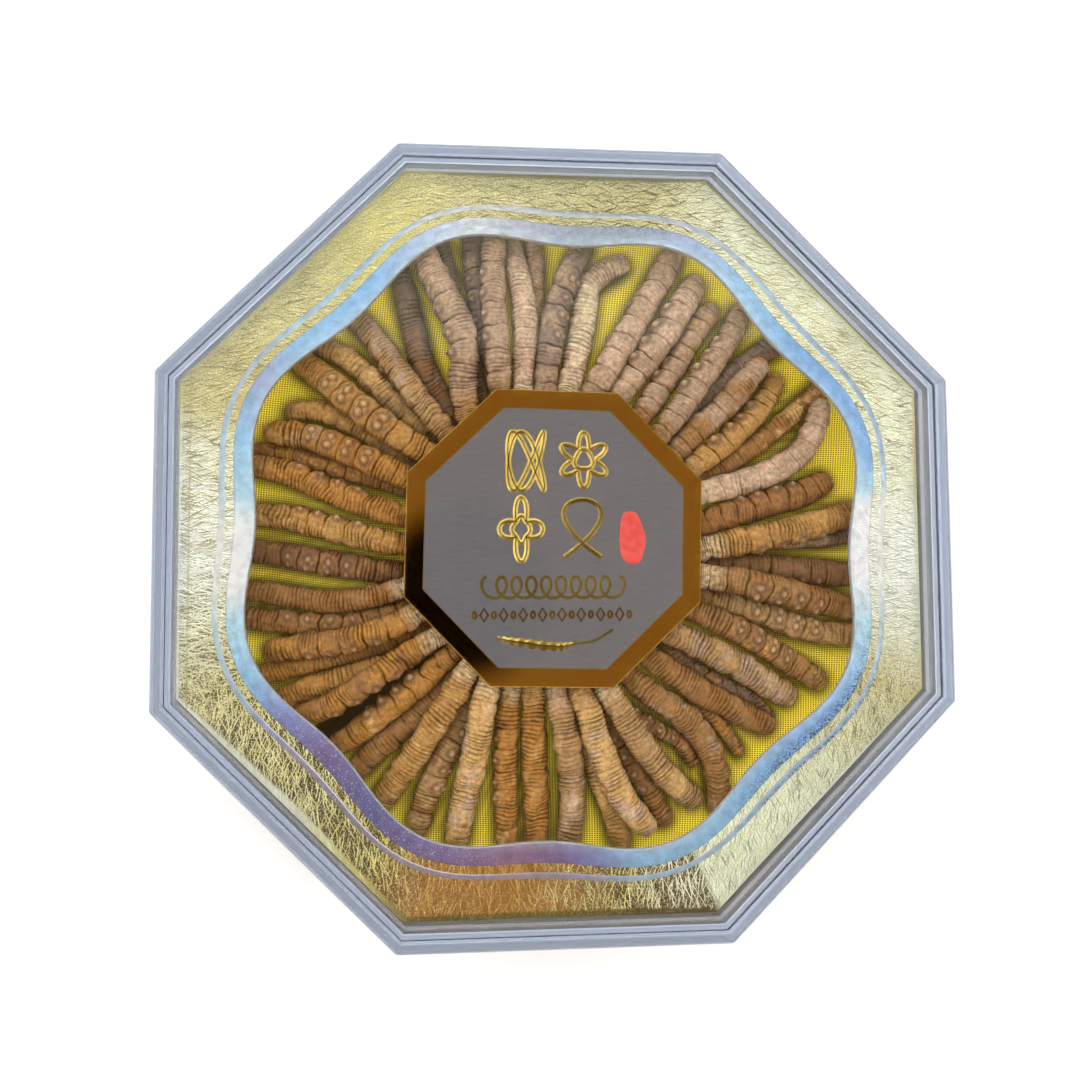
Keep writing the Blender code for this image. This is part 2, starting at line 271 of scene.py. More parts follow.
def absorb(tree, colour, density):
    """Fill the solid with a clear medium that takes up part of the light."""
    medium = add(tree, "VolumeAbsorption", {"Color": colour, "Density": density})
    join(tree.nodes["Material Output"], {"Volume": medium.outputs[0]})


def clear_plastic():
    material, tree = new_material("clear_plastic")
    absorb(tree, (0.62, 0.74, 0.95), 9.0)
    return surfaced(material, {"Base Color": (0.97, 0.985, 1.0), "Roughness": 0.015, "IOR": PLASTIC_IOR,
                               "Transmission Weight": 1.0})


def clear_wall(name, tint):
    """The same plastic where it stands on edge: tinted, slightly milky and less polished."""
    material, tree = new_material(name)
    absorb(tree, (0.62, 0.68, 0.86), 10.0)
    drawn = fed("Mapping", {"Vector": object_place(tree), "Scale": (300.0, 300.0, 2500.0)})
    streaks = ramp(noise(drawn, 1.0), (0.3, 0.12), (0.7, 0.20))
    return surfaced(material, {"Base Color": tint, "Roughness": streaks, "IOR": PLASTIC_IOR,
                               "Transmission Weight": 0.85})


def foil_strokes(place, angles):
    """Straw-like strokes that cross each other, as a height that is greatest along a stroke."""
    strokes = None
    for shift, angle in enumerate(angles):
        turned = fed("Mapping", {"Vector": place, "Location": (0.3 * shift, 0.2 * shift, 0.0),
                                 "Rotation": (0.0, 0.0, math.radians(angle)), "Scale": STROKE_SIZE},
                     vector_type="TEXTURE")
        layer = noise(turned, 1.0, detail=0.0)
        strokes = layer if strokes is None else maths("MAXIMUM", strokes, layer)
    return strokes


def gold_foil():
    """Straw-like strokes of one colour on a ground of another, both changing round the mat as painted
    reflection of the lights.

    The mesh attributes "ground" and "stroke" hold the two colours, the first also the share of
    the strokes as its alpha. The strokes run across the box, and along it at the front. Where
    they take up much of the foil, its grain shows as painted shade in pits and painted glints.
    """
    material, tree = new_material("gold_foil")
    place = object_place(tree)
    x, y, _ = parts(place)
    ground = add(tree, "Attribute", attribute_name="ground").outputs
    level = foil_strokes(place, (-28, -9, 8, 25))
    steep = foil_strokes(place, (62, 81, 98, 120))
    grain = noise(place, 2600.0, detail=1.0)
    height = plus(mixed(ranged(y, -20 * MM, -45 * MM), level, steep), times(minus(grain, 0.5), 0.06))
    start = minus(0.745, times(ground["Alpha"], 0.2))
    strokes = ranged(minus(height, start), 0.0, 0.05)
    colour = mixed(strokes, ground["Color"], attribute(tree, "stroke"))
    roughened = ramp(ground["Alpha"], (0.2, 0.25), (0.45, 1.0))
    # Painted shade in the pits of the grain, and painted glints on it.
    pit_shade = times(ramp(grain, (0.34, 0.2475), (0.47, 0.0)), roughened)
    colour = mixed(pit_shade, colour, (0.05, 0.035, 0.0))
    painted_glints = times(ramp(grain, (0.52, 0.0), (0.64, 0.36)), roughened)
    colour = mixed(painted_glints, colour, (1.0, 0.97, 0.72))
    patches = ramp(noise(place, 70.0, detail=3.0), (0.3, 0.90), (0.7, 1.04))
    colour = mixed(1.0, colour, patches, "MULTIPLY")
    # Painted shade along the crease.
    from_crease = times(maths("ABSOLUTE", minus(x, CREASE_PLACE)), 1000.0)
    colour = mixed(ramp(from_crease, (0.12, 0.6), (0.30, 0.0)), colour, (0.45, 0.38, 0.14))
    return surfaced(material, {"Base Color": colour, "Normal": bump(height, 0.25 * MM),
                               "Metallic": FOIL_METAL, "Roughness": 0.32})


def prismatic_foil(name, line_width, paleness):
    """A band of one tint with painted sparkles, a painted highlight along its inner side and dark specks,
    dark along its outer edge.

    The mesh attribute "tint" holds its tint, set by bearing as painted reflection of the lights,
    and "dots" holds the amounts of painted sparkle and of specks and the place across the band;
    line_width is the share of the band taken by a painted bright line where it sparkles,
    and paleness the share of its tint lost to the gold.
    """
    material, tree = new_material(name)
    place = object_place(tree)
    sparkles, specks, across = parts(attribute(tree, "dots"), "Color")
    # Painted highlight along the band's inner side, where it does not sparkle.
    inner_highlight = times(ramp(across, (0.0, 0.28), (0.55, 0.0)), minus(1.0, sparkles))
    colour = mixed(inner_highlight, attribute(tree, "tint"), (0.80, 0.95, 1.0))
    colour = mixed(paleness, colour, (0.60, 0.56, 0.44))
    cloud = ramp(noise(place, 420.0, detail=4.0), (0.35, 0.86), (0.65, 1.12))
    colour = mixed(1.0, colour, cloud, "MULTIPLY")
    fine = noise(place, 2700.0, detail=1.0)
    outward = ramp(across, (0.25, 0.0), (0.85, 1.0))
    dark = times(ramp(fine, (0.42, 1.0), (0.54, 0.0)), specks, outward)
    colour = mixed(dark, colour, (0.06, 0.07, 0.14))
    # Painted glints where the band sparkles.
    glint = ramp(noise(place, 2500.0), (0.58, 0.0), (0.70, 0.9))
    colour = mixed(times(glint, sparkles), colour, (0.70, 0.74, 0.92))
    # A painted bright line along the band where it sparkles.
    line = ramp(across, (line_width, 1.0), (line_width + 0.08, 0.0))
    colour = mixed(times(line, sparkles), colour, (1.0, 1.0, 0.98))
    colour = mixed(ramp(across, (0.94, 0.0), (0.985, 0.45)), colour, (0.10, 0.10, 0.08))
    return surfaced(material, {"Base Color": colour, "Normal": bump(fine, 0.05 * MM),
                               "Metallic": FOIL_METAL, "Roughness": 0.34})


def clouded(name, scale, detail, spread, dull, bright, roughness, metallic=0.0):
    """Two tones of one colour in soft clouds."""
    material, tree = new_material(name)
    cloud = noise(object_place(tree), scale, detail)
    colour = ramp(cloud, (0.5 - spread, dull), (0.5 + spread, bright))
    return surfaced(material, {"Base Color": colour, "Roughness": roughness, "Metallic": metallic})


def leaf_gold(name, dull, bright, roughness):
    return clouded(name, 130.0, 4.0, 0.2, dull, bright, roughness, 1.0)


def linen_card():
    material, tree = new_material("label_card")
    place = object_place(tree)
    across = noise(fed("Mapping", {"Vector": place, "Scale": (260.0, 1500.0, 1.0)}), 1.0)
    speck = ramp(noise(place, 900.0, detail=3.0), (0.66, 0.0), (0.74, 1.0))
    colour = ramp(across, (0.3, (0.145, 0.133, 0.136)), (0.7, (0.165, 0.152, 0.156)))
    colour = mixed(times(speck, 0.2), colour, (0.24, 0.23, 0.24))
    return surfaced(material, {"Base Color": colour, "Normal": bump(across, 0.04 * MM, 0.6),
                               "Roughness": 0.52})


def yellow_silk():
    """Plain weave: two sets of threads, with small holes where they cross.

    Height is added to both directions, so the weave also covers the pad's sides. The mesh
    attribute "shade" holds the painted shade of the silk: painted shadow close to the specimens
    and painted shade down in its tucks. The silk also glows a little in its own colour, as
    painted light.
    """
    material, tree = new_material("yellow_silk")
    place = object_place(tree)
    drift = fed("VectorMath", {0: noise(place, 25.0, detail=1.0, output="Color"), 1: (0.5 * MM,) * 3},
                operation="MULTIPLY")
    bent = fed("VectorMath", {0: place, 1: drift}, operation="ADD")
    x, y, z = parts(fed("Mapping", {"Vector": bent, "Rotation": (0.0, 0.0, math.radians(3.0))}))
    warp, weft = (2 * math.pi / pitch for pitch in THREAD_PITCHES)
    along = maths("SINE", times(plus(x, z), warp))
    across = maths("SINE", times(plus(y, z), weft))
    height = minus(1.0, times(plus(along, 1.0), plus(across, 1.0), 0.25))
    colour = ramp(height, (0.46, (0.14, 0.055, 0.0)), (0.90, (0.98, 0.71, 0.003)),
                  (1.0, (1.0, 0.88, 0.14)))
    colour = mixed(times(noise(place, 900.0), 0.2), colour, (0.84, 0.62, 0.004))
    # Painted shade, near black: shadow close to the specimens and shade down in the tucks.
    colour = mixed(attribute(tree, "shade", "Fac"), colour, (0.012, 0.004, 0.001))
    # The silk glows a little in its own colour: painted light.
    return surfaced(material, {"Base Color": colour, "Emission Color": colour, "Emission Strength": 0.50,
                               "Normal": bump(height, 0.10 * MM), "Roughness": 0.42,
                               "Specular IOR Level": 0.25, "Sheen Weight": 0.04,
                               "Sheen Tint": (1.0, 0.9, 0.4)})


def skin(name, look, seed):
    """Dried skin: its tone with patches of another, a lighter head, and painted shade and highlights at its
    folds.

    The mesh attribute "marks" holds the depth of the folds, which sets their painted shade, the
    distance along the body as a share of its length, the rings of painted shade round the feet,
    and as alpha one less the painted shadow where other bodies touch and the painted shade on
    the underside; "tips" holds the feet's tips.
    """
    tone, patch_tone, patches, patch_place, head_tone = look[:5]
    material, tree = new_material(name)
    place = fed("Mapping", {"Vector": object_place(tree), "Location": (0.13 * seed, 0.07 * seed, 0.0)})
    marks = add(tree, "Attribute", attribute_name="marks").outputs
    fold, along, ring = parts(marks["Color"], "Color")
    tips = attribute(tree, "tips", "Fac")
    from_patch = maths("ABSOLUTE", minus(along, patch_place))
    cloud = minus(noise(place, 210.0, detail=3.0), times(from_patch, 0.25))
    blotch = ramp(cloud, (0.56 - 0.30 * patches, 0.0), (0.68 - 0.30 * patches, 1.0))
    colour = mixed(blotch, SKIN_TONES[tone], SKIN_TONES[patch_tone])
    head = ramp(along, (0.15, 1.0), (0.24, 0.0))
    flecks = ramp(noise(place, 900.0), (0.36, 0.3), (0.54, 1.0))
    colour = mixed(times(head, flecks), colour, SKIN_TONES[head_tone])
    mottle = noise(place, 950.0, detail=4.0, roughness=0.75)
    colour = mixed(1.0, colour, ramp(mottle, (0.32, 0.52), (0.68, 1.42)), "MULTIPLY")
    # Painted highlight on the ridges of the folds, a little painted shade down in them.
    colour = mixed(1.0, colour, ramp(fold, (0.02, 1.22), (0.35, 0.9)), "MULTIPLY")
    # A pale dusty tone with a painted highlight on the ridges.
    colour = mixed(ramp(fold, (0.02, 0.10), (0.20, 0.0)), colour, RIDGE_DUST_AND_HIGHLIGHT)
    # Painted shade in the folds.
    colour = mixed(fold, colour, FOLD_SHADE)
    # Painted shade in the grooves round the feet.
    colour = mixed(times(ring, 0.85), colour, FOOT_SHADE)
    # A paler tone with a painted highlight on the feet's tips.
    colour = mixed(times(tips, 0.6), colour, FOOT_TIP_TONE_AND_HIGHLIGHT)
    # Painted shadow where other bodies touch and painted shade on the underside.
    colour = mixed(marks["Alpha"], FOLD_SHADE, colour)
    pores = noise(place, 2600.0, detail=3.0, roughness=0.6)
    gloss = minus(ramp(mottle, (0.3, 0.78), (0.7, 0.48)), times(tips, 0.3))
    return surfaced(material, {"Base Color": colour, "Normal": bump(pores, 0.22 * MM), "Roughness": gloss,
                               "Specular IOR Level": 0.3})


# ---------------------------------------------------------------- mesh helpers

def new_piece(name, vertices, faces, materials, replaced=None):
    """A mesh piece that rides on the box; replaced names the solid that it stands for."""
    mesh = bpy.data.meshes.new(name)
    mesh.from_pydata([tuple(v) for v in vertices], [], faces)
    for material in materials:
        mesh.materials.append(material)
    piece = bpy.data.objects.new(name, mesh)
    bpy.context.scene.collection.objects.link(piece)
    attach(piece, "root")
    if replaced:
        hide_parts(replaced)
    return piece


def grid_faces(rows, columns, ring=False):
    """Quads between successive closed loops of vertices; in a ring the last meets the first."""
    row = np.arange(rows if ring else rows - 1)[:, None]
    column = np.arange(columns)[None, :]
    following = (column + 1) % columns
    near, far = row * columns, (row + 1) % rows * columns
    quads = np.stack((near + column, near + following, far + following, far + column), axis=-1)
    return quads.reshape(-1, 4).tolist()


def capped_faces(rows, columns):
    """Quads between closed loops of vertices, with a face over the first and the last loop."""
    last = (rows - 1) * columns
    caps = [list(range(columns))[::-1], list(range(last, last + columns))]
    return grid_faces(rows, columns) + caps


def flipped(faces):
    return [face[::-1] for face in faces]


def lofted(name, loops, materials, replaced=None, flip=True):
    """A closed piece through loops of vertices.

    flip is set where the loops run down anticlockwise or up clockwise.
    """
    faces = capped_faces(len(loops), len(loops[0]))
    vertices = [point for loop in loops for point in loop]
    return new_piece(name, vertices, flipped(faces) if flip else faces, materials, replaced)


def keep(piece, name, values):
    """Store a value or a colour for each vertex as an attribute of the mesh."""
    kind, field = ("FLOAT_COLOR", "color") if values.ndim > 1 else ("FLOAT", "value")
    piece.data.attributes.new(name, kind, "POINT").data.foreach_set(field, values.ravel())


def round_loop(radius, bearing, height, centre=(0.0, 0.0)):
    """A closed loop of vertices at these distances and bearings from a centre."""
    return np.column_stack((centre[0] + radius * np.cos(bearing), centre[1] + radius * np.sin(bearing),
                            np.broadcast_to(height, radius.shape)))


def smoothed(piece, sharp_angle):
    piece.data.shade_smooth()
    piece.data.set_sharp_from_angle(angle=math.radians(sharp_angle))


def octagon(half, fillet, height, centre=(0.0, 0.0), roll=0.0, arc_points=5):
    """A closed octagonal loop with rounded corners; its flats face X and Y."""
    points = []
    reach = (half - fillet) / math.cos(HALF_EIGHTH)
    for k in range(8):
        corner = k * EIGHTH + HALF_EIGHTH + roll
        for j in range(arc_points):
            facing = (k + j / (arc_points - 1)) * EIGHTH + roll
            points.append((centre[0] + reach * math.cos(corner) + fillet * math.cos(facing),
                           centre[1] + reach * math.sin(corner) + fillet * math.sin(facing), height))
    return points


def octagonal_shell(name, profile, materials, replaced, bevel):
    """A closed solid of octagonal loops, from a profile of (half width, height).

    Its flat middle has the first material and its walls have the second.
    """
    loops = []
    for half, height in profile:
        fillet = max(OUTER_FILLET - (BOX_HALF - half), 0.35 * MM)
        loops.append(octagon(half, fillet, height))
    piece = lofted(name, loops, materials, replaced)
    for polygon in piece.data.polygons:
        reaches = [math.hypot(*piece.data.vertices[index].co[:2]) for index in polygon.vertices]
        polygon.material_index = int(min(reaches) > max(WALL_SPAN * max(reaches), PLATE_HALF))
    edge = piece.modifiers.new("Bevel", "BEVEL")
    edge.width = bevel
    edge.segments = 2
    edge.limit_method = "ANGLE"
    edge.angle_limit = math.radians(28)
    smoothed(piece, 40)


def smooth_through(stations, values, at):
    """Values read from a smooth curve through the given ones (cubic Hermite)."""
    slopes = np.gradient(values, stations, axis=0)
    left = np.clip(np.searchsorted(stations, at) - 1, 0, len(stations) - 2)
    width = stations[left + 1] - stations[left]
    t = (at - stations[left]) / width
    if values.ndim > 1:
        t, width = t[:, None], width[:, None]
    return ((2 * t**3 - 3 * t**2 + 1) * values[left]
            + (t**3 - 2 * t**2 + t) * width * slopes[left]
            + (3 * t**2 - 2 * t**3) * values[left + 1]
            + (t**3 - t**2) * width * slopes[left + 1])


def clearance(points, bodies):
    """Distance from each point to the nearest of the bodies, given as rows of x, y, z, radius."""
    apart = np.linalg.norm(points[:, None, :] - bodies[None, :, :3], axis=2) - bodies[None, :, 3]
    return apart.min(axis=1)


# ---------------------------------------------------------------- box

def build_box(plastic, lid_wall, tray_wall):
    plate_top = LID_TOP - LID_RIM_RISE
    plate_bottom = plate_top - LID_PLATE
    skirt_inner = BOX_HALF - LID_WALL
    rim_inner = BOX_HALF - LID_RIM_WIDTH
    lid_profile = [
        (CORE_HALF, plate_top),
        (rim_inner - LID_RIM_RISE, plate_top),
        (rim_inner, LID_TOP),
        (BOX_HALF - EDGE_CHAMFER, LID_TOP),
        (BOX_HALF, LID_TOP - EDGE_CHAMFER),
        (BOX_HALF, LID_FOOT),
        (skirt_inner, LID_FOOT),
        (skirt_inner, plate_bottom - LID_INNER_CHAMFER),
        (skirt_inner - LID_INNER_CHAMFER, plate_bottom),
        (CORE_HALF, plate_bottom),
    ]
    octagonal_shell("lid_clear", lid_profile, [plastic, lid_wall], "lid", 0.25 * MM)
    tray_profile = [
        (CORE_HALF, TRAY_FLOOR),
        (TRAY_INNER_HALF, TRAY_FLOOR),
        (TRAY_INNER_HALF, TRAY_LEDGE),
        (TRAY_REBATE_HALF, TRAY_LEDGE),
        (TRAY_REBATE_HALF, TRAY_TOP),
        (TRAY_COLLAR_HALF, TRAY_TOP),
        (TRAY_COLLAR_HALF, TRAY_SHOULDER),
        (BOX_HALF, TRAY_SHOULDER),
        (BOX_HALF, EDGE_CHAMFER),
        (BOX_HALF - EDGE_CHAMFER, 0.0),
        (CORE_HALF, 0.0),
    ]
    octagonal_shell("base_tray_clear", tray_profile, [plastic, tray_wall], "base_tray", 0.2 * MM)


# ---------------------------------------------------------------- mat

FOIL_TONES = {
    "white": (0.84, 0.84, 0.74),
    "cream": (0.78, 0.77, 0.54),
    "wheat": (0.76, 0.69, 0.30),
    "straw": (0.68, 0.58, 0.16),
    "lime": (0.68, 0.68, 0.42),
    "pale_green": (0.82, 0.85, 0.56),
    "sage": (0.40, 0.42, 0.32),
    "gold": (0.57, 0.49, 0.20),
    "brass": (0.30, 0.25, 0.085),
    "olive": (0.18, 0.16, 0.060),
    "moss": (0.13, 0.090, 0.004),
    "bronze": (0.090, 0.062, 0.006),
    "copper": (0.33, 0.145, 0.012),
    "amber": (0.54, 0.30, 0.050),
}
BAND_TONES = {
    "white": (1.0, 1.0, 1.0),
    "ice": (0.52, 0.80, 0.95),
    "sky": (0.36, 0.66, 0.97),
    "blue": (0.29, 0.54, 0.92),
    "lilac": (0.45, 0.53, 0.79),
    "slate": (0.38, 0.43, 0.56),
    "pearl": (0.68, 0.69, 0.77),
    "periwinkle": (0.27, 0.31, 0.66),
    "indigo": (0.16, 0.16, 0.40),
    "violet": (0.25, 0.18, 0.41),
    "plum": (0.35, 0.19, 0.32),
}
# By bearing in degrees, from +X towards +Y: tone of the prismatic bands, which is painted
# reflection of the lights round the box, and how much they get painted sparkle and are specked
# with dark dots.
BAND_LOOKS = (
    (6, "white", 0.0, 0.0),
    (9, "ice", 0.0, 0.1),
    (15, "blue", 0.0, 0.2),
    (38, "blue", 0.1, 0.2),
    (52, "sky", 0.0, 0.2),
    (66, "lilac", 0.0, 0.2),
    (76, "slate", 0.0, 0.5),
    (90, "slate", 0.0, 0.2),
    (105, "pearl", 0.0, 0.1),
    (125, "blue", 0.0, 0.1),
    (142, "sky", 0.0, 0.1),
    (152, "lilac", 0.0, 0.1),
    (162, "sky", 0.0, 0.1),
    (172, "ice", 0.0, 0.1),
    (178, "white", 0.0, 0.0),
    (189, "white", 0.0, 0.0),
    (194, "ice", 0.0, 0.1),
    (204, "sky", 0.1, 0.2),
    (213, "periwinkle", 0.6, 0.3),
    (222, "violet", 0.8, 0.2),
    (234, "indigo", 0.8, 0.1),
    (250, "violet", 0.8, 0.1),
    (262, "plum", 0.25, 0.0),
    (270, "violet", 0.15, 0.0),
    (276, "periwinkle", 0.2, 0.1),
    (284, "sky", 0.0, 0.2),
    (300, "sky", 0.0, 0.2),
    (318, "blue", 0.0, 0.9),
    (331, "blue", 0.0, 0.9),
    (344, "ice", 0.0, 0.2),
    (353, "white", 0.0, 0.0),
)
# By bearing: the gold foil's ground, its strokes, their share, its outermost part and that
# part's width in mm. The tones are painted reflection of the lights round the box: pale at
# the left and right, darkest at the front.
GOLD_LOOKS = (
    (0, "white", "sage", 0.35, "lime", 0.8),
    (10, "cream", "sage", 0.4, "gold", 0.8),
    (20, "cream", "brass", 0.4, "gold", 0.6),
    (40, "cream", "gold", 0.45, "straw", 0.5),
    (62, "cream", "brass", 0.45, "brass", 0.5),
    (75, "gold", "moss", 0.5, "olive", 1.2),
    (90, "gold", "olive", 0.45, "olive", 1.0),
    (105, "gold", "brass", 0.45, "brass", 0.8),
    (120, "straw", "gold", 0.4, "straw", 0.5),
    (135, "gold", "brass", 0.4, "straw", 0.5),
    (160, "gold", "brass", 0.4, "straw", 0.5),
    (165, "cream", "brass", 0.5, "cream", 0.4),
    (180, "white", "brass", 0.5, "cream", 0.4),
    (183, "sage", "white", 0.95, "cream", 0.4),
    (193, "olive", "cream", 0.9, "cream", 0.5),
    (204, "moss", "wheat", 0.80, "cream", 0.8),
    (214, "bronze", "wheat", 0.66, "cream", 1.4),
    (226, "bronze", "wheat", 0.60, "cream", 1.8),
    (239, "bronze", "straw", 0.55, "straw", 1.2),
    (249, "copper", "amber", 0.3, "moss", 1.2),
    (262, "copper", "amber", 0.2, "moss", 1.4),
    (270, "copper", "gold", 0.35, "moss", 1.4),
    (280, "bronze", "straw", 0.45, "bronze", 1.4),
    (288, "bronze", "cream", 0.5, "bronze", 1.2),
    (292.5, "bronze", "cream", 0.6, "bronze", 1.0),
    (293.5, "pale_green", "sage", 0.4, "cream", 0.3),
    (312, "pale_green", "sage", 0.4, "white", 0.3),
    (325, "lime", "brass", 0.45, "white", 0.4),
    (336, "gold", "olive", 0.5, "straw", 0.4),
    (344, "cream", "sage", 0.4, "lime", 0.5),
    (352, "white", "sage", 0.38, "lime", 0.7),
)


def window_radius(bearing):
    return WINDOW_RADIUS + WINDOW_LOBE * np.cos(8 * (bearing - WINDOW_ROLL))


def outer_radius(bearing):
    """Distance to an octagon of half width 1 whose flats face X and Y."""
    off = (bearing + HALF_EIGHTH) % EIGHTH - HALF_EIGHTH
    return 1.0 / np.cos(off)


def by_bearing(table, column, degrees, tones=None):
    """A column of a table, read at every bearing; tones gives the colours of named tones."""
    values = np.array([tones[row[column]] if tones else (row[column],) for row in table])
    stops = [row[0] for row in table]
    return np.stack([np.interp(degrees, stops, part, period=360) for part in values.T], axis=-1)


def mat_loops(bearing):
    """Radius and height of the mat's loops, from its window outwards, and how far each of those
    near the window lies from its edge, so that they follow the bands."""
    inner = window_radius(bearing)
    outer = MAT_HALF * outer_radius(bearing)
    between = np.linspace(WIDE_BAND[1], THIN_BAND[0], 5)
    offsets = np.concatenate(((0.0, WINDOW_EDGE), np.linspace(*WIDE_BAND, 9)[1:], between[1:],
                              np.linspace(*THIN_BAND, 5)[1:]))
    straighter = 1.0 - BAND_STRAIGHTENING * np.cos(8 * (bearing - WINDOW_ROLL))
    top = [inner + offset * straighter for offset in offsets]
    start = top[-1]
    top += [start + (outer - start) * share for share in np.linspace(0.0, 1.0, 24)[1:]]
    rng = np.random.default_rng(5)
    loops = [(inner, MAT_LOW)]
    for index, radius in enumerate(top):
        height = np.full(len(bearing), MAT_HIGH)
        if index == 0:
            height -= WINDOW_EDGE
        elif index < len(top) - 1:
            height += FOIL_UNEVENNESS * rng.normal(size=len(bearing))
        loops.append((radius, height))
    loops.append((outer, MAT_LOW))
    return loops, offsets


def mat_colours(bearing, loops, places):
    """The foil's and the bands' colours at every vertex of the mat, by attribute; how they change by
    bearing is painted reflection of the lights.
    """
    degrees = np.degrees(bearing)
    ground, stroke, edge_tone = (by_bearing(GOLD_LOOKS, column, degrees, FOIL_TONES)
                                 for column in (1, 2, 4))
    share, edge_width = (by_bearing(GOLD_LOOKS, column, degrees) for column in (3, 5))
    sparkle, specks = (by_bearing(BAND_LOOKS, column, degrees) for column in (2, 3))
    shape = (len(loops), len(bearing), 4)
    colours = {name: np.ones(shape) for name in ("ground", "stroke", "tint", "dots")}
    colours["tint"][:, :, :3] = by_bearing(BAND_LOOKS, 1, degrees, BAND_TONES)
    for row, (radius, _) in enumerate(loops):
        inward = (loops[-1][0] - radius)[:, None]
        at_edge = np.clip((edge_width * MM - inward) / EDGE_SOFTNESS + 0.5, 0.0, 1.0)
        colours["ground"][row, :, :3] = ground + (edge_tone - ground) * at_edge
        colours["ground"][row, :, 3:] = share * (1 - 0.7 * at_edge)
        colours["stroke"][row, :, :3] = stroke + (edge_tone - stroke) * at_edge
        offset = places[min(row, len(places) - 1)]
        band = THIN_BAND if offset > WIDE_BAND[1] + 0.1 * MM else WIDE_BAND
        across = min(max((offset - band[0]) / (band[1] - band[0]), 0.0), 1.0)
        colours["dots"][row, :, :3] = np.hstack((sparkle, specks, np.full_like(specks, across)))
    return colours


def build_mat(foil, wide, thin, edge):
    bearing = np.arange(MAT_BEARINGS) * 2 * math.pi / MAT_BEARINGS
    loops, offsets = mat_loops(bearing)
    vertices = [round_loop(radius, bearing, height, MAT_CENTRE) for radius, height in loops]
    faces = flipped(grid_faces(len(loops), MAT_BEARINGS, ring=True))
    piece = new_piece("gold_mat_foil", np.concatenate(vertices), faces, [foil, wide, edge, thin],
                      "gold_mat")
    places = np.array([0.0, *offsets])
    kind = np.zeros(len(loops), dtype=int)
    for row, middle in enumerate((places[1:] + places[:-1]) / 2):
        if row < 2:
            kind[row] = 2
        elif WIDE_BAND[0] < middle < WIDE_BAND[1]:
            kind[row] = 1
        elif THIN_BAND[0] < middle < THIN_BAND[1]:
            kind[row] = 3
    piece.data.polygons.foreach_set("material_index", np.repeat(kind, MAT_BEARINGS))
    for name, values in mat_colours(bearing, loops, places).items():
        keep(piece, name, values)
    smoothed(piece, 35)


# ---------------------------------------------------------------- pad

def pad_height(half):
    return np.interp(half, PAD_TOP_HALVES, PAD_TOP_HEIGHTS)


def tuck_share(x, y, start, end, half_width):
    """How deep in a tuck each place is, from 0 outside it to 1 along its middle."""
    start, end = np.array(start) * MM, np.array(end) * MM
    run = end - start
    share = np.clip(((x - start[0]) * run[0] + (y - start[1]) * run[1]) / (run @ run), 0.0, 1.0)
    distance = np.hypot(x - start[0] - share * run[0], y - start[1] - share * run[1])
    return np.exp(-((distance / (half_width * MM)) ** 4))


def build_pad(silk, lines):
    """A crowned octagonal cushion. Its top swells a little, gets painted shadow close to the specimens and
    painted shade in its tucks.
    """
    bodies = np.concatenate(lines) * (*CONTACT_SHADE_HEIGHTS, 1.0)
    bearing = np.arange(PAD_BEARINGS) * 2 * math.pi / PAD_BEARINGS
    shape = outer_radius(bearing)
    rng = np.random.default_rng(11)
    waves = [(rng.uniform(60, 420), *rng.uniform(0, 2 * math.pi, 2)) for _ in range(PAD_WAVES)]
    loops, shade = [], []
    for share in np.linspace(0.04, 1.0, PAD_LOOPS):
        half = share * (PAD_HALF - 0.6 * MM)
        soft = 1.0 - 0.1 * (1.0 - share) ** 2
        radius = half * (soft * shape + (1 - soft))
        x, y = radius * np.cos(bearing), radius * np.sin(bearing)
        swell = sum(np.sin(f * (x * math.cos(a) + y * math.sin(a)) + p) for f, a, p in waves) / PAD_WAVES
        drop = 2.0 * MM * max(0.0, (share - 0.97) / 0.03) ** 2
        depth = sum(tuck * MM * tuck_share(x, y, start, end, width) for start, end, width, tuck in TUCKS)
        height = pad_height(half) + PAD_RISE + WAVE_HEIGHT * swell - drop - depth
        loops.append(np.stack((x, y, height), axis=1))
        # Painted shadow on the silk close to the specimens, and painted shade in the tucks by their depth.
        apart = np.clip(clearance(loops[-1] * CONTACT_SHADE_HEIGHTS, bodies), 0.0, None)
        painted_shadow = PAD_CONTACT_SHADE * np.exp(-((apart / CONTACT_SHADE_REACH) ** 2))
        shade.append(np.clip(np.maximum(depth / TUCK_DARK, painted_shadow), 0.0, 1.0))
    for half, height in ((PAD_HALF, 9.5 * MM), (PAD_HALF, 5.0 * MM), (PAD_HALF - 0.8 * MM, PAD_BOTTOM)):
        loops.append(round_loop(half * shape, bearing, height))
    piece = lofted("silk_pad_cushion", loops, [silk], "silk_pad")
    keep(piece, "shade", np.pad(np.concatenate(shade), (0, 3 * len(bearing))))
    piece.data.shade_smooth()


# ---------------------------------------------------------------- label

def build_label(card, gold):
    centre, roll = LABEL_CENTRE, LABEL_ROLL
    floor = LABEL_HIGH - LABEL_RECESS
    profile = (
        (LABEL_HALF - 0.1 * MM, LABEL_LOW),
        (LABEL_HALF, LABEL_LOW + 0.15 * MM),
        (LABEL_HALF, LABEL_HIGH - 0.08 * MM),
        (LABEL_HALF - 0.13 * MM, LABEL_HIGH),
        (LABEL_PANEL_HALF + 0.16 * MM, LABEL_HIGH),
        (LABEL_PANEL_HALF, floor),
    )
    loops = [octagon(half, 0.25 * MM, height, centre, roll, 3) for half, height in profile]
    piece = lofted("label_card", loops, [gold, card], "centre_label", flip=False)
    for cap in (-1, -2):
        piece.data.polygons[cap].material_index = 1


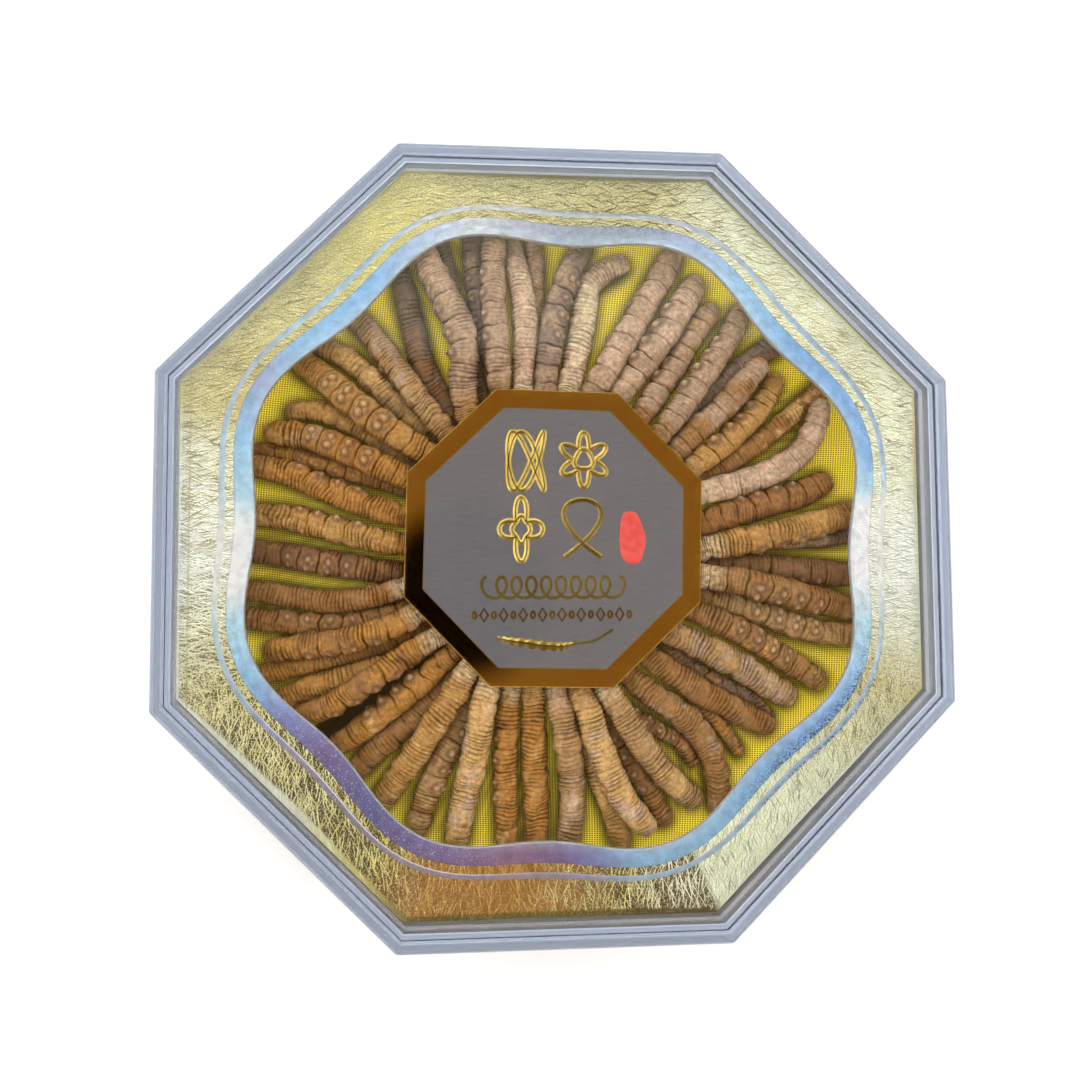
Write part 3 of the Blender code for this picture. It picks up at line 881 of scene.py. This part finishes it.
# Raised ornaments on the label, in mm: closed knots and rosettes as centre, size, and turns
# across and up (rosettes as number of petals and depth of the petals).
KNOTS = (((-8.3, 18.3), (8.4, 13.5), (2, 3)), ((4.6, 2.8), (8.6, 13.3), (3, 2)))
ROSETTES = (((5.0, 18.6), (11.7, 12.6), (6, 0.26)), ((5.0, 18.6), (4.6, 5.0), (3, 0.10)),
            ((-9.5, 2.6), (9.9, 14.6), (4, 0.32)), ((-9.5, 2.6), (4.2, 6.2), (4, 0.12)))
KNOT_STROKE = 1.3
SCROLL = (-17.4, 13.0, -10.7, 2.4)       # start and end across, middle height, half height
SCROLL_LOOPS = 9
BEADS = (-20.2, 15.2, -16.9)             # start and end across, height
BEAD_COUNT = 17
# A relief of one larva with its stalk: places across and up, and widths.
RELIEF = ((-15.3, -22.0, 0.9), (-12.6, -22.6, 1.5), (-9.0, -23.2, 2.0), (-4.2, -23.9, 2.2),
          (-0.6, -24.1, 2.0), (1.4, -23.7, 1.2), (3.6, -23.4, 0.7), (6.6, -23.0, 0.65),
          (8.9, -21.9, 0.6), (11.4, -20.3, 0.55))
# The outline of the red patch, across and up.
PATCH = ((13.5, 5.6), (14.6, 6.8), (17.2, 6.7), (18.2, 4.0), (19.4, 1.0), (18.9, -2.6), (17.8, -5.4),
         (15.2, -5.6), (13.3, -4.0), (13.0, 0.6))
# Across a raised stroke: places as shares of its half width, and heights.
RIBBON_PROFILE = ((-1.0, ORNAMENT_LOW), (-0.2, ORNAMENT_HIGH), (0.2, ORNAMENT_HIGH), (1.0, ORNAMENT_LOW))


def ribbon(path, widths, closed):
    """A raised stroke with sloping sides along a path of (across, up) in mm."""
    path = np.array(path) * MM
    half = np.broadcast_to(widths, len(path))[:, None] * MM / 2
    if closed:
        along = np.roll(path, -1, axis=0) - np.roll(path, 1, axis=0)
    else:
        along = np.gradient(path, axis=0)
    along /= np.linalg.norm(along, axis=1, keepdims=True)
    side = np.stack((-along[:, 1], along[:, 0]), axis=1)
    vertices = []
    for point, outward in zip(path, side * half):
        for share, height in RIBBON_PROFILE:
            vertices.append((*(point + outward * share), height))
    faces = grid_faces(len(path), 4, ring=True) if closed else capped_faces(len(path), 4)
    return vertices, faces


def label_strokes():
    """The ornaments as ribbons: path, widths and whether it closes."""
    turn = np.linspace(0.0, 2 * math.pi, 160, endpoint=False)
    for centre, size, (across, up) in KNOTS:
        path = np.stack((np.sin(across * turn + math.pi / 4), np.sin(up * turn)), axis=1)
        yield np.array(centre) + path * np.array(size) / 2, KNOT_STROKE, True
    for centre, size, (petals, depth) in ROSETTES:
        reach = 1 - depth + depth * np.cos(petals * turn)
        path = np.stack((np.sin(turn) * reach, np.cos(turn) * reach), axis=1)
        yield np.array(centre) + path * np.array(size) / 2, KNOT_STROKE, True
    start, end, height, half = SCROLL
    wave = np.linspace(0.0, 2 * math.pi * SCROLL_LOOPS, 30 * SCROLL_LOOPS)
    across = start + (end - start) * wave / wave[-1] - 1.9 * np.sin(wave)
    yield np.stack((across, height + half * np.cos(wave)), axis=1), 0.8, False
    start, end, height = BEADS
    for k, middle in enumerate(np.linspace(start, end, BEAD_COUNT)):
        corners, size = (4, 1.5) if k % 2 else (12, 0.75)
        around = np.linspace(0.0, 2 * math.pi, corners, endpoint=False)
        bead = np.stack((middle + 0.6 * size * np.cos(around), height + size * np.sin(around)), axis=1)
        yield bead, 0.6, True
    relief = np.array(RELIEF)
    stations = np.arange(len(relief), dtype=float)
    smooth = smooth_through(stations, relief, np.linspace(0.0, stations[-1], 120))
    scallop = 1 + 0.22 * np.sin(np.linspace(0.0, 32 * math.pi, 120)) * (smooth[:, 2] > 1.0)
    yield smooth[:, :2], smooth[:, 2] * scallop, False


def build_ornaments(gold, red):
    vertices, faces = [], []
    for path, widths, closed in label_strokes():
        more, strips = ribbon(path, widths, closed)
        faces += [tuple(index + len(vertices) for index in strip) for strip in strips]
        vertices += more
    new_piece("label_ornaments", vertices, faces, [gold])
    outline = np.array(PATCH)
    for _ in range(3):
        following = np.roll(outline, -1, axis=0)
        outline = np.stack((0.75 * outline + 0.25 * following, 0.25 * outline + 0.75 * following),
                           axis=1).reshape(-1, 2)
    middle = outline.mean(axis=0)
    loops = []
    for share, height in ((1.0, ORNAMENT_LOW), (0.97, LABEL_HIGH - 0.08 * MM), (0.90, ORNAMENT_HIGH)):
        loops.append([(*((middle + (point - middle) * share) * MM), height) for point in outline])
    lofted("label_patch", loops, [red])


# ---------------------------------------------------------------- specimens

BODY_SEGMENTS = (0.45, 0.55, 0.65, 0.85, 1.0, 1.1, 1.1, 1.1, 1.1, 1.0, 0.85, 0.65)
FEET = {0: 0.25, 1: 0.30, 2: 0.35, 5: 1.0, 6: 1.0, 7: 1.0, 8: 0.95, 11: 0.45}   # size by segment
HEAD_SEGMENTS = 3
FOLD_PITCH = 0.95 * MM
HEAD_FOLD_PITCH = 0.52 * MM
FOLD_SHARES = ((0.0, 1.0), (0.17, 0.36), (0.5, 0.0), (0.83, 0.36))   # loops of a fold: place, depth
AROUND = 30
TOP_CROWDING = 0.45                # draws the vertices round a body together on its upper side
FOOT_ANGLE = 0.34                  # a foot's place either side of the belly's middle, in radians
BELLY_REACH = 1.35                 # the belly ends in a crease this far round, in radians
HEAD_SPREAD = 0.26                 # heads are pressed wider where they crowd under the label
STALK_HALF = 0.9 * MM
CROWDING_REACH = 0.5 * MM          # how far the painted shadow of a touching body reaches
CROWDING_SHADE = 0.9
NEIGHBOUR_DISTANCE = 8 * MM        # bodies farther off than this cast no such painted shadow
UNDER_START = 0.62                 # painted shade on the underside starts below this share of the radius
UNDER_WIDTH = 0.9
UNDER_SHADE = 0.85
WREATH_CENTRE = (-1.2 * MM, 0.6 * MM)
HEAD_DISTANCE = 33 * MM            # of the small specimens of the lower layer
BODY_STATIONS = ((0.0, 0.46), (0.07, 0.72), (0.25, 0.92), (0.43, 1.0),
                 (0.61, 1.0), (0.79, 0.98), (0.93, 0.90), (1.0, 0.52))

# The look of each specimen, in the order of their solids: its tone, tone of its patches, share
# of patches, where along the body they are most, tone of the head, roll in degrees (0 with the
# belly up, 90 with it facing anticlockwise round the box), size of the feet, depth of the folds.
LOOKS = (
    ("dark", "umber", 0.4, 0.4, "umber", 150, 0.5, 0.6),
    ("tan", "pale", 0.7, 0.7, "umber", 180, 0.4, 0.5),
    ("brown", "honey", 0.7, 0.7, "umber", 180, 0.2, 0.35),
    ("russet", "amber", 0.5, 0.6, "russet", 40, 0.8, 0.5),
    ("umber", "brown", 0.2, 0.4, "umber", 20, 1.0, 0.7),
    ("russet", "brown", 0.4, 0.6, "amber", -50, 1.0, 0.7),
    ("amber", "honey", 0.4, 0.5, "honey", 180, 0.4, 0.7),
    ("amber", "honey", 0.4, 0.5, "tan", 180, 0.4, 0.8),
    ("russet", "brown", 0.4, 0.7, "brown", 120, 0.5, 0.4),
    ("brown", "tan", 0.6, 0.7, "brown", 45, 1.0, 0.6),
    ("honey", "pale", 0.5, 0.6, "brown", 180, 0.4, 0.8),
    ("russet", "brown", 0.4, 0.5, "umber", -40, 1.0, 0.8),
    ("tan", "honey", 0.3, 0.8, "brown", 15, 1.0, 0.8),
    ("umber", "brown", 0.2, 0.8, "umber", -60, 1.0, 0.45),
    ("dark", "mauve", 0.4, 0.5, "brown", 180, 0.4, 0.4),
    ("russet", "pale", 0.5, 1.0, "russet", 180, 0.4, 0.4),
    ("grey", "mauve", 0.2, 0.3, "umber", 180, 0.3, 0.4),
    ("blush", "tan", 0.5, 0.4, "tan", 180, 0.4, 0.55),
    ("grey", "mauve", 0.3, 0.5, "grey", 60, 1.0, 0.45),
    ("dark", "grey", 0.4, 0.5, "dark", 100, 0.8, 0.5),
    ("mauve", "blush", 0.4, 0.9, "honey", 75, 0.9, 0.9),
    ("tan", "mauve", 0.4, 0.7, "brown", 100, 0.8, 1.0),
    ("honey", "amber", 0.3, 0.2, "amber", 0, 1.0, 0.6),
    ("amber", "tan", 0.3, 0.9, "amber", -10, 1.0, 0.9),
    ("amber", "brown", 0.3, 0.8, "amber", -75, 1.0, 1.1),
    ("honey", "pale", 0.4, 1.0, "amber", -75, 1.0, 1.0),
    ("russet", "brown", 0.4, 0.8, "cream", 180, 0.4, 0.9),
    ("amber", "russet", 0.6, 0.7, "cream", 70, 0.9, 0.9),
    ("amber", "russet", 0.6, 0.7, "cream", 80, 1.0, 0.9),
    ("amber", "pale", 0.35, 1.0, "russet", -70, 1.1, 0.3),
    ("honey", "pale", 0.3, 0.8, "cream", 180, 0.4, 1.0),
    ("pale", "blush", 0.25, 0.8, "cream", 180, 0.1, 0.65),
    ("amber", "pale", 0.3, 1.0, "cream", -75, 0.9, 1.0),
    ("amber", "honey", 0.3, 0.2, "pale", 150, 0.6, 1.0),
    ("tan", "blush", 0.4, 1.0, "blush", 180, 0.3, 1.0),
    ("pale", "blush", 0.25, 0.7, "brown", 180, 0.2, 0.85),
    ("tan", "pale", 0.3, 0.8, "cream", 180, 0.4, 1.0),
    ("brown", "mauve", 0.2, 0.6, "russet", 120, 0.7, 0.8),
    ("brown", "russet", 0.8, 0.6, "russet", 180, 0.2, 0.7),
    ("tan", "mauve", 0.35, 0.6, "tan", 180, 0.3, 1.0),
    ("brown", "honey", 0.3, 0.9, "russet", 20, 1.0, 0.75),
    ("brown", "russet", 0.4, 0.7, "cream", -35, 1.0, 0.7),
    ("honey", "brown", 0.3, 0.4, "cream", -75, 0.8, 1.1),
    ("russet", "umber", 0.3, 0.7, "russet", 75, 1.0, 0.5),
    ("blush", "mauve", 0.5, 0.8, "cream", 180, 0.2, 0.25),
    ("honey", "pale", 0.4, 0.9, "tan", 70, 1.3, 0.28),
    ("brown", "mauve", 0.6, 0.8, "brown", 180, 0.3, 0.28),
    ("mauve", "blush", 0.2, 0.9, "brown", 80, 1.2, 0.3),
    ("mauve", "tan", 0.4, 0.9, "russet", 80, 1.2, 0.25),
    ("blush", "mauve", 0.6, 0.4, "mauve", 80, 1.2, 0.25),
    ("blush", "mauve", 0.6, 0.7, "mauve", 100, 0.9, 0.22),
    ("blush", "cream", 0.6, 0.45, "cream", 180, 0.5, 0.72),
    ("grey", "mauve", 0.4, 0.6, "mauve", -45, 1.0, 0.3),
    ("blush", "cream", 0.1, 0.7, "cream", 180, 0.3, 0.52),
    ("mauve", "mauve", 0.5, 0.5, "tan", 75, 1.0, 0.65),
)

# Three small specimens that show only between others: name, slot, look, width and tail
# distance in mm, and bearings in degrees at five places from head to tail.
SMALL_SPECIMENS = (
    ("dried_cordyceps_56", "brown", ("russet", "tan", 0.4, 0.5, "brown", 20, 1.2, 0.9), 3.8, 64,
     (288, 291, 296.5, 302, 302)),
    ("dried_cordyceps_57", "tan", ("brown", "amber", 0.4, 0.5, "tan", 90, 0.9, 0.9), 3.6, 69,
     (311.5, 311.5, 311.5, 312, 311)),
    ("dried_cordyceps_58", "dark", ("dark", "brown", 0.5, 0.5, "brown", 60, 0.9, 0.8), 3.6, 69,
     (316, 317, 318.5, 321.5, 320.5)),
)


def ring_centres(solid):
    """Centre and radius of each eight-sided ring of a specimen's solid, stalk end first."""
    points = []
    for vertex in solid.data.vertices:
        place = np.array(solid.matrix_world @ vertex.co)
        if not points or min(np.linalg.norm(np.array(points) - place, axis=1)) > 0.02 * MM:
            points.append(place)
    points = np.array(points)
    inner = points[np.hypot(points[:, 0], points[:, 1]).argmin()]
    rings = []
    while len(points):
        order = np.argsort(np.linalg.norm(points - inner, axis=1))
        ring = points[order[:8]]
        inner = ring.mean(axis=0)
        rings.append((inner, np.linalg.norm(ring - inner, axis=1).mean()))
        points = points[order[8:]]
    return np.array([centre for centre, _ in rings]), np.array([radius for _, radius in rings])


def small_line(width, tail, bearings):
    """Ring centres and radii of a small specimen that lies on the pad."""
    half = width * MM / 2
    shares = np.array([share for share, _ in BODY_STATIONS])
    distance = HEAD_DISTANCE + (tail * MM - HEAD_DISTANCE) * shares
    distance = np.concatenate(((HEAD_DISTANCE - 2 * MM, HEAD_DISTANCE - 1 * MM), distance))
    given = np.linspace(HEAD_DISTANCE, tail * MM, 5)
    bearing = np.radians(np.interp(distance, given, bearings))
    x = WREATH_CENTRE[0] + distance * np.cos(bearing)
    y = WREATH_CENTRE[1] + distance * np.sin(bearing)
    z = pad_height(distance / outer_radius(bearing)) + PAD_RISE + half
    radii = np.array([0.9 * half, 0.9 * half] + [half * share for _, share in BODY_STATIONS])
    return np.stack((x, y, z), axis=1), radii


def fold_plan(length, rng):
    """Loops of the mesh along the body: place, depth of the fine folds and of the segments'
    bounds, place within the segment and its index. Last, the middle of each segment."""
    segments = np.array(BODY_SEGMENTS) * (1 + 0.06 * rng.normal(size=len(BODY_SEGMENTS)))
    ends = np.concatenate(((0.0,), np.cumsum(segments / segments.sum()))) * length
    rows = []
    for index, (start, end) in enumerate(zip(ends[:-1], ends[1:])):
        pitch = HEAD_FOLD_PITCH if index < HEAD_SEGMENTS else FOLD_PITCH
        count = max(2, int(round((end - start) / pitch)))
        widths = 1 + 0.18 * rng.normal(size=count)
        edges = start + (end - start) * np.concatenate(((0.0,), np.cumsum(widths / widths.sum())))
        for k in range(count):
            deep = rng.uniform(0.85, 1.15) if index < HEAD_SEGMENTS else rng.uniform(0.35, 1.0)
            for share, part in FOLD_SHARES:
                place = edges[k] + share * (edges[k + 1] - edges[k])
                at_bound = (k == 0 and share < 0.5) or (k == count - 1 and share > 0.5)
                depths = (0.0, part) if at_bound else (deep * part, 0.0)
                rows.append((place, *depths, (place - start) / (end - start), index))
    return *np.array(rows).T, (ends[1:] + ends[:-1]) / 2


def soft_field(rng, along, around, period, terms=6):
    """A smooth random field over the skin, about 1 in size."""
    total = np.zeros(np.broadcast(along, around).shape)
    for _ in range(terms):
        wave = rng.uniform(0.4, 1.0) * 2 * math.pi / period
        total += np.cos(wave * along + rng.integers(0, 4) * around + rng.uniform(0, 2 * math.pi))
    return total / math.sqrt(terms)


def body_envelope(at, stations, radii, body_start, width):
    """Radius along the body without its folds: a thin stalk, a shouldered head, a rounded tail."""
    full = np.interp(at, stations, radii)
    full = np.where(at > stations[-2], radii[-2], full)
    to_tail = np.clip((stations[-1] - at) / (0.62 * width), 0.0, 1.0)
    full = full * np.sqrt(np.clip(1 - (1 - to_tail) ** 2.2, 0.0, 1.0))
    grow = np.clip((at - body_start) / (1.6 * MM), 0.0, 1.0)
    stalk = min(STALK_HALF, 0.3 * width)
    return stalk + (full - stalk) * np.sin(grow * math.pi / 2)


def stations_of(centres):
    """Distance of each centre along the line through them."""
    steps = np.linalg.norm(np.diff(centres, axis=0), axis=1)
    return np.concatenate(((0.0,), np.cumsum(steps)))


def body_samples(centres, radii):
    """Points along a body with its radius, about 1 mm apart, as rows of x, y, z, radius."""
    stations = stations_of(centres)
    at = np.arange(stations[2], stations[-1] - 0.5 * radii[-2], 1.0 * MM)
    return np.column_stack((smooth_through(stations, centres, at), np.interp(at, stations, radii)))


def feet_relief(along, belly, width, middles, foot_size):
    """What the feet add to the radius, the painted shade of the grooves round them, and their tips."""
    relief, ring, tips = (np.zeros(np.broadcast(along, belly).shape) for _ in range(3))
    for segment, size in FEET.items():
        size *= foot_size
        off = along - middles[segment]
        reach = 0.14 * width * (0.5 + 0.5 * size)
        oval = np.hypot(off / (1.9 * reach), belly * width / (5.6 * reach))
        groove = np.exp(-(((oval - 1) / 0.16) ** 2)) * size
        relief -= 0.016 * width * groove
        ring += 0.6 * groove
        for sign in (-1, 1):
            distance = np.hypot(off, (belly - sign * FOOT_ANGLE) * width / 2) / reach
            pad, rim = np.exp(-(distance**4)), np.exp(-(((distance - 1.1) / 0.22) ** 2))
            tip = np.exp(-((distance / 0.38) ** 2))
            relief += width * size * (0.035 * pad - 0.025 * rim + 0.025 * tip)
            ring += size * rim
            tips += size * tip
    return relief, ring, tips


def swept_skin(centres, stations, at, moved, turn, radius, spread):
    """Vertices of the loops round the body's line, the two at its ends, and the line itself.

    moved holds each vertex's place along the line; spread widens each loop sideways.
    """
    line = smooth_through(stations, centres, moved.ravel()).reshape(*moved.shape, 3)
    middle_line = smooth_through(stations, centres, np.clip(at, 0.0, stations[-1]))
    tangent = np.gradient(middle_line, at, axis=0)
    tangent /= np.linalg.norm(tangent, axis=1, keepdims=True)
    across = np.cross(tangent, (0.0, 0.0, 1.0))
    across /= np.linalg.norm(across, axis=1, keepdims=True)
    upward = np.cross(across, tangent)
    spoke = across[:, None, :] * (spread * np.cos(turn))[..., None]
    spoke = spoke + upward[:, None, :] * np.sin(turn)[..., None]
    vertices = (line + spoke * radius[..., None]).reshape(-1, 3)
    ends = np.concatenate((middle_line[:1], line[-1:].mean(axis=1)))
    return vertices, ends, middle_line


def skin_faces(rows):
    """Quads between the loops of a skin, and a fan at each end to one of the two end vertices."""
    faces = flipped(grid_faces(rows, AROUND))
    first, last = rows * AROUND, rows * AROUND + 1
    for k in range(AROUND):
        following = (k + 1) % AROUND
        faces.append((first, k, following))
        faces.append((last, (rows - 1) * AROUND + following, (rows - 1) * AROUND + k))
    return faces


def contact_shade(vertices, middle_line, envelope, others, turn):
    """How much painted shade each vertex gets: painted shadow where another body touches, and painted shade
    towards the underside.
    """
    near = clearance(others[:, :3], np.column_stack((middle_line, envelope))) < NEIGHBOUR_DISTANCE
    crowded = np.exp(-np.clip(clearance(vertices, others[near]), 0.0, None) / CROWDING_REACH)
    under = np.clip((UNDER_START - np.sin(turn)) / UNDER_WIDTH, 0.0, 1.0)
    return np.maximum(CROWDING_SHADE * crowded.reshape(-1, AROUND), UNDER_SHADE * under)


def build_specimen(name, slot, look, centres, radii, seed, others, replaced=None):
    """others holds the samples of the other bodies, which cast painted shadow on this one where they touch.
    """
    roll, foot_size, folds = look[5:]
    rng = np.random.default_rng(100 + seed)
    stations = stations_of(centres)
    body_start = stations[2] - 0.4 * MM
    length = stations[-1] - body_start
    width = 2 * radii.max()
    place, fine, bound, phase, number, middles = fold_plan(length, rng)
    stalk = np.linspace(0.0, body_start, 8)[:-1]
    at = np.concatenate((stalk, body_start + place))
    fine, bound, phase = (np.pad(values, (len(stalk), 0))[:, None] for values in (fine, bound, phase))
    foot_here = np.pad([FEET.get(index, 0.0) for index in number], (len(stalk), 0))[:, None] * foot_size
    even = np.arange(AROUND) * 2 * math.pi / AROUND
    s, turn = at[:, None], (even + TOP_CROWDING * np.cos(even))[None, :]
    belly = turn - math.radians(90 + roll)
    belly = (belly + math.pi) % (2 * math.pi) - math.pi
    on_belly = np.exp(-((belly / BELLY_REACH) ** 4))
    on_body = np.clip((s - body_start) / (1.2 * MM), 0.0, 1.0)

    wobble = 0.28 * MM * soft_field(rng, s, turn, 11 * MM) * on_body
    wobble *= np.clip((stations[-1] - s) / (3 * MM), 0.0, 1.0)
    moved = np.clip(s + wobble, 0.0, stations[-1])
    envelope = body_envelope(at, stations, radii, body_start, width)
    base = envelope[:, None]
    share = np.clip((s - body_start) / length, 0.0, 1.0)

    uneven = (0.65 + 0.6 * soft_field(rng, s, turn, 9 * MM)).clip(0.05, 1.5)
    fine_depth = 0.068 * width * folds * fine * uneven * (1 - 0.8 * on_belly * np.clip(foot_here, 0.0, 1.0))
    bound_depth = (0.045 + 0.035 * folds + 0.03 * foot_size * on_belly) * width * bound
    fold_depth = (fine_depth + bound_depth) * on_body
    lobe = np.sin(math.pi * phase) ** 0.7 - 0.5
    bulge = width * lobe * (0.02 + (0.03 + 0.10 * foot_here) * on_belly) * on_body
    shrivel = 0.022 * width * soft_field(rng, s, turn, 7 * MM) * on_body
    crease = -0.025 * width * np.exp(-(((np.abs(belly) - BELLY_REACH) / 0.17) ** 2)) * on_body
    wart = soft_field(rng, s, turn, 2.6 * MM, 8) + soft_field(rng, s, 3 * turn, 3.1 * MM, 6)
    radius = base * (1 + 0.05 * np.cos(2 * turn)) + bulge + shrivel + crease - fold_depth
    radius += (0.008 + 0.012 * folds) * width * wart * on_body
    feet, ring, tips = feet_relief(s - body_start, belly, width, middles, foot_size)
    radius = base + (radius + feet - base) * np.sqrt(base / envelope.max())

    spread = 1 + HEAD_SPREAD * np.exp(-share / 0.16) * on_body
    vertices, ends, middle_line = swept_skin(centres, stations, at, moved, turn, radius, spread)
    # Painted shadow where other bodies touch, and painted shade on the underside.
    dim = contact_shade(vertices, middle_line, envelope, others, turn)
    piece = new_piece(name, np.concatenate((vertices, ends)), skin_faces(len(at)),
                      [skin("skin_" + name, look, seed)], replaced)
    # Painted shade in the folds, by their depth.
    shade = fine_depth / (0.082 * width) + bound * (0.35 + 0.35 * on_belly) * uneven
    shade, ring, tips = (np.clip(values, 0.0, 1.0) for values in (shade * on_body, ring, tips))
    marks = np.stack(np.broadcast_arrays(shade, share, ring, 1.0 - dim), axis=-1).reshape(-1, 4)
    keep(piece, "marks", np.concatenate((marks, [(0.5, 1.0, 0.0, 1.0)] * 2)))
    keep(piece, "tips", np.pad(tips.ravel(), (0, 2)))
    piece.data.shade_smooth()


def specimen_plans():
    """Name, slot, look, centre line with radii, and replaced solid of each specimen."""
    for index, look in enumerate(LOOKS):
        node = f"cordyceps_{index + 1:02d}"
        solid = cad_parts[node]
        slot = solid.data.materials[0].name.split(".")[0].removeprefix("skin_")
        yield "dried_" + node, slot, look, ring_centres(solid), node
    for name, slot, look, width, tail, bearings in SMALL_SPECIMENS:
        yield name, slot, look, small_line(width, tail, bearings), None


def build_specimens(plans, samples):
    for index, (name, slot, look, line, replaced) in enumerate(plans):
        others = np.concatenate([rows for k, rows in enumerate(samples) if k != index])
        build_specimen(name, slot, look, *line, index, others, replaced)


# ---------------------------------------------------------------- stage

def build_stage():
    corners = [(x * FLOOR_HALF, y * FLOOR_HALF, 0.0) for x, y in ((-1, -1), (1, -1), (1, 1), (-1, 1))]
    mesh = bpy.data.meshes.new("floor")
    mesh.from_pydata(corners, [], [(0, 1, 2, 3)])
    material, _ = new_material("pale_floor")
    mesh.materials.append(surfaced(material, {"Base Color": (0.80, 0.80, 0.81), "Roughness": 0.8}))
    floor = bpy.data.objects.new("floor", mesh)
    bpy.context.scene.collection.objects.link(floor)


def build_lights():
    """A studio of soft panels: bright at the sides and behind, dimmer overhead and in front."""
    world = bpy.data.worlds.new("studio")
    bpy.context.scene.world = world
    world.use_nodes = True
    tree = world.node_tree
    x, y, z = parts(add(tree, "TexCoord").outputs["Generated"])
    around = maths("SQRT", minus(1.0, maths("POWER", z, 2.0)))
    sides = {"around": around, "left": times(x, -1.0), "right": x, "front": times(y, -1.0), "back": y}
    light = None
    for side, start, full, radiance in PANELS:
        panel = mixed(ranged(sides[side], start, full, "SMOOTHSTEP"), (0.0, 0.0, 0.0), radiance)
        light = panel if light is None else mixed(1.0, light, panel, "ADD")
    light = mixed(ranged(z, *HORIZON_FADE, "SMOOTHSTEP"), HORIZON, light)
    join(tree.nodes["Background"], {"Color": light, "Strength": 1.0})


def build_camera():
    turn_x, turn_y, turn_z = (Matrix.Rotation(math.radians(angle), 3, axis)
                              for angle, axis in zip(CAMERA_TURNS, "XYZ"))
    seen = turn_z @ turn_y @ turn_x
    data = bpy.data.cameras.new("camera")
    data.sensor_width = SENSOR_WIDTH
    data.lens = FOCAL_PIXELS / IMAGE_PIXELS * SENSOR_WIDTH
    data.clip_start = 0.01
    camera = bpy.data.objects.new("camera", data)
    camera.matrix_world = Matrix.Translation(CAMERA_PLACE) @ seen.transposed().to_4x4()
    bpy.context.scene.collection.objects.link(camera)
    bpy.context.scene.camera = camera


def main():
    bpy.context.scene.view_settings.view_transform = "Standard"
    build_camera()
    build_stage()
    build_lights()
    build_box(clear_plastic(), clear_wall("lid_wall", (0.75, 0.84, 1.0)),
              clear_wall("tray_wall", (0.95, 0.96, 1.0)))
    cut_edge = clouded("mat_cut_edge", 1500.0, 2.0, 0.2, (0.42, 0.44, 0.48), (0.62, 0.64, 0.66), 0.45)
    build_mat(gold_foil(), prismatic_foil("prismatic_foil", -0.2, 0.0),
              prismatic_foil("prismatic_line", 0.18, 0.35), cut_edge)
    plans = list(specimen_plans())
    samples = [body_samples(*line) for _, _, _, line, _ in plans]
    build_pad(yellow_silk(), samples)
    build_label(linen_card(), leaf_gold("mirror_gold", (0.96, 0.50, 0.06), (1.0, 0.60, 0.12), 0.05))
    build_ornaments(leaf_gold("stamped_gold", (0.22, 0.145, 0.03), (0.36, 0.25, 0.065), 0.26),
                    clouded("red_enamel", 500.0, 2.0, 0.15, (0.92, 0.075, 0.065), (1.0, 0.13, 0.11), 0.3))
    build_specimens(plans, samples)


main()
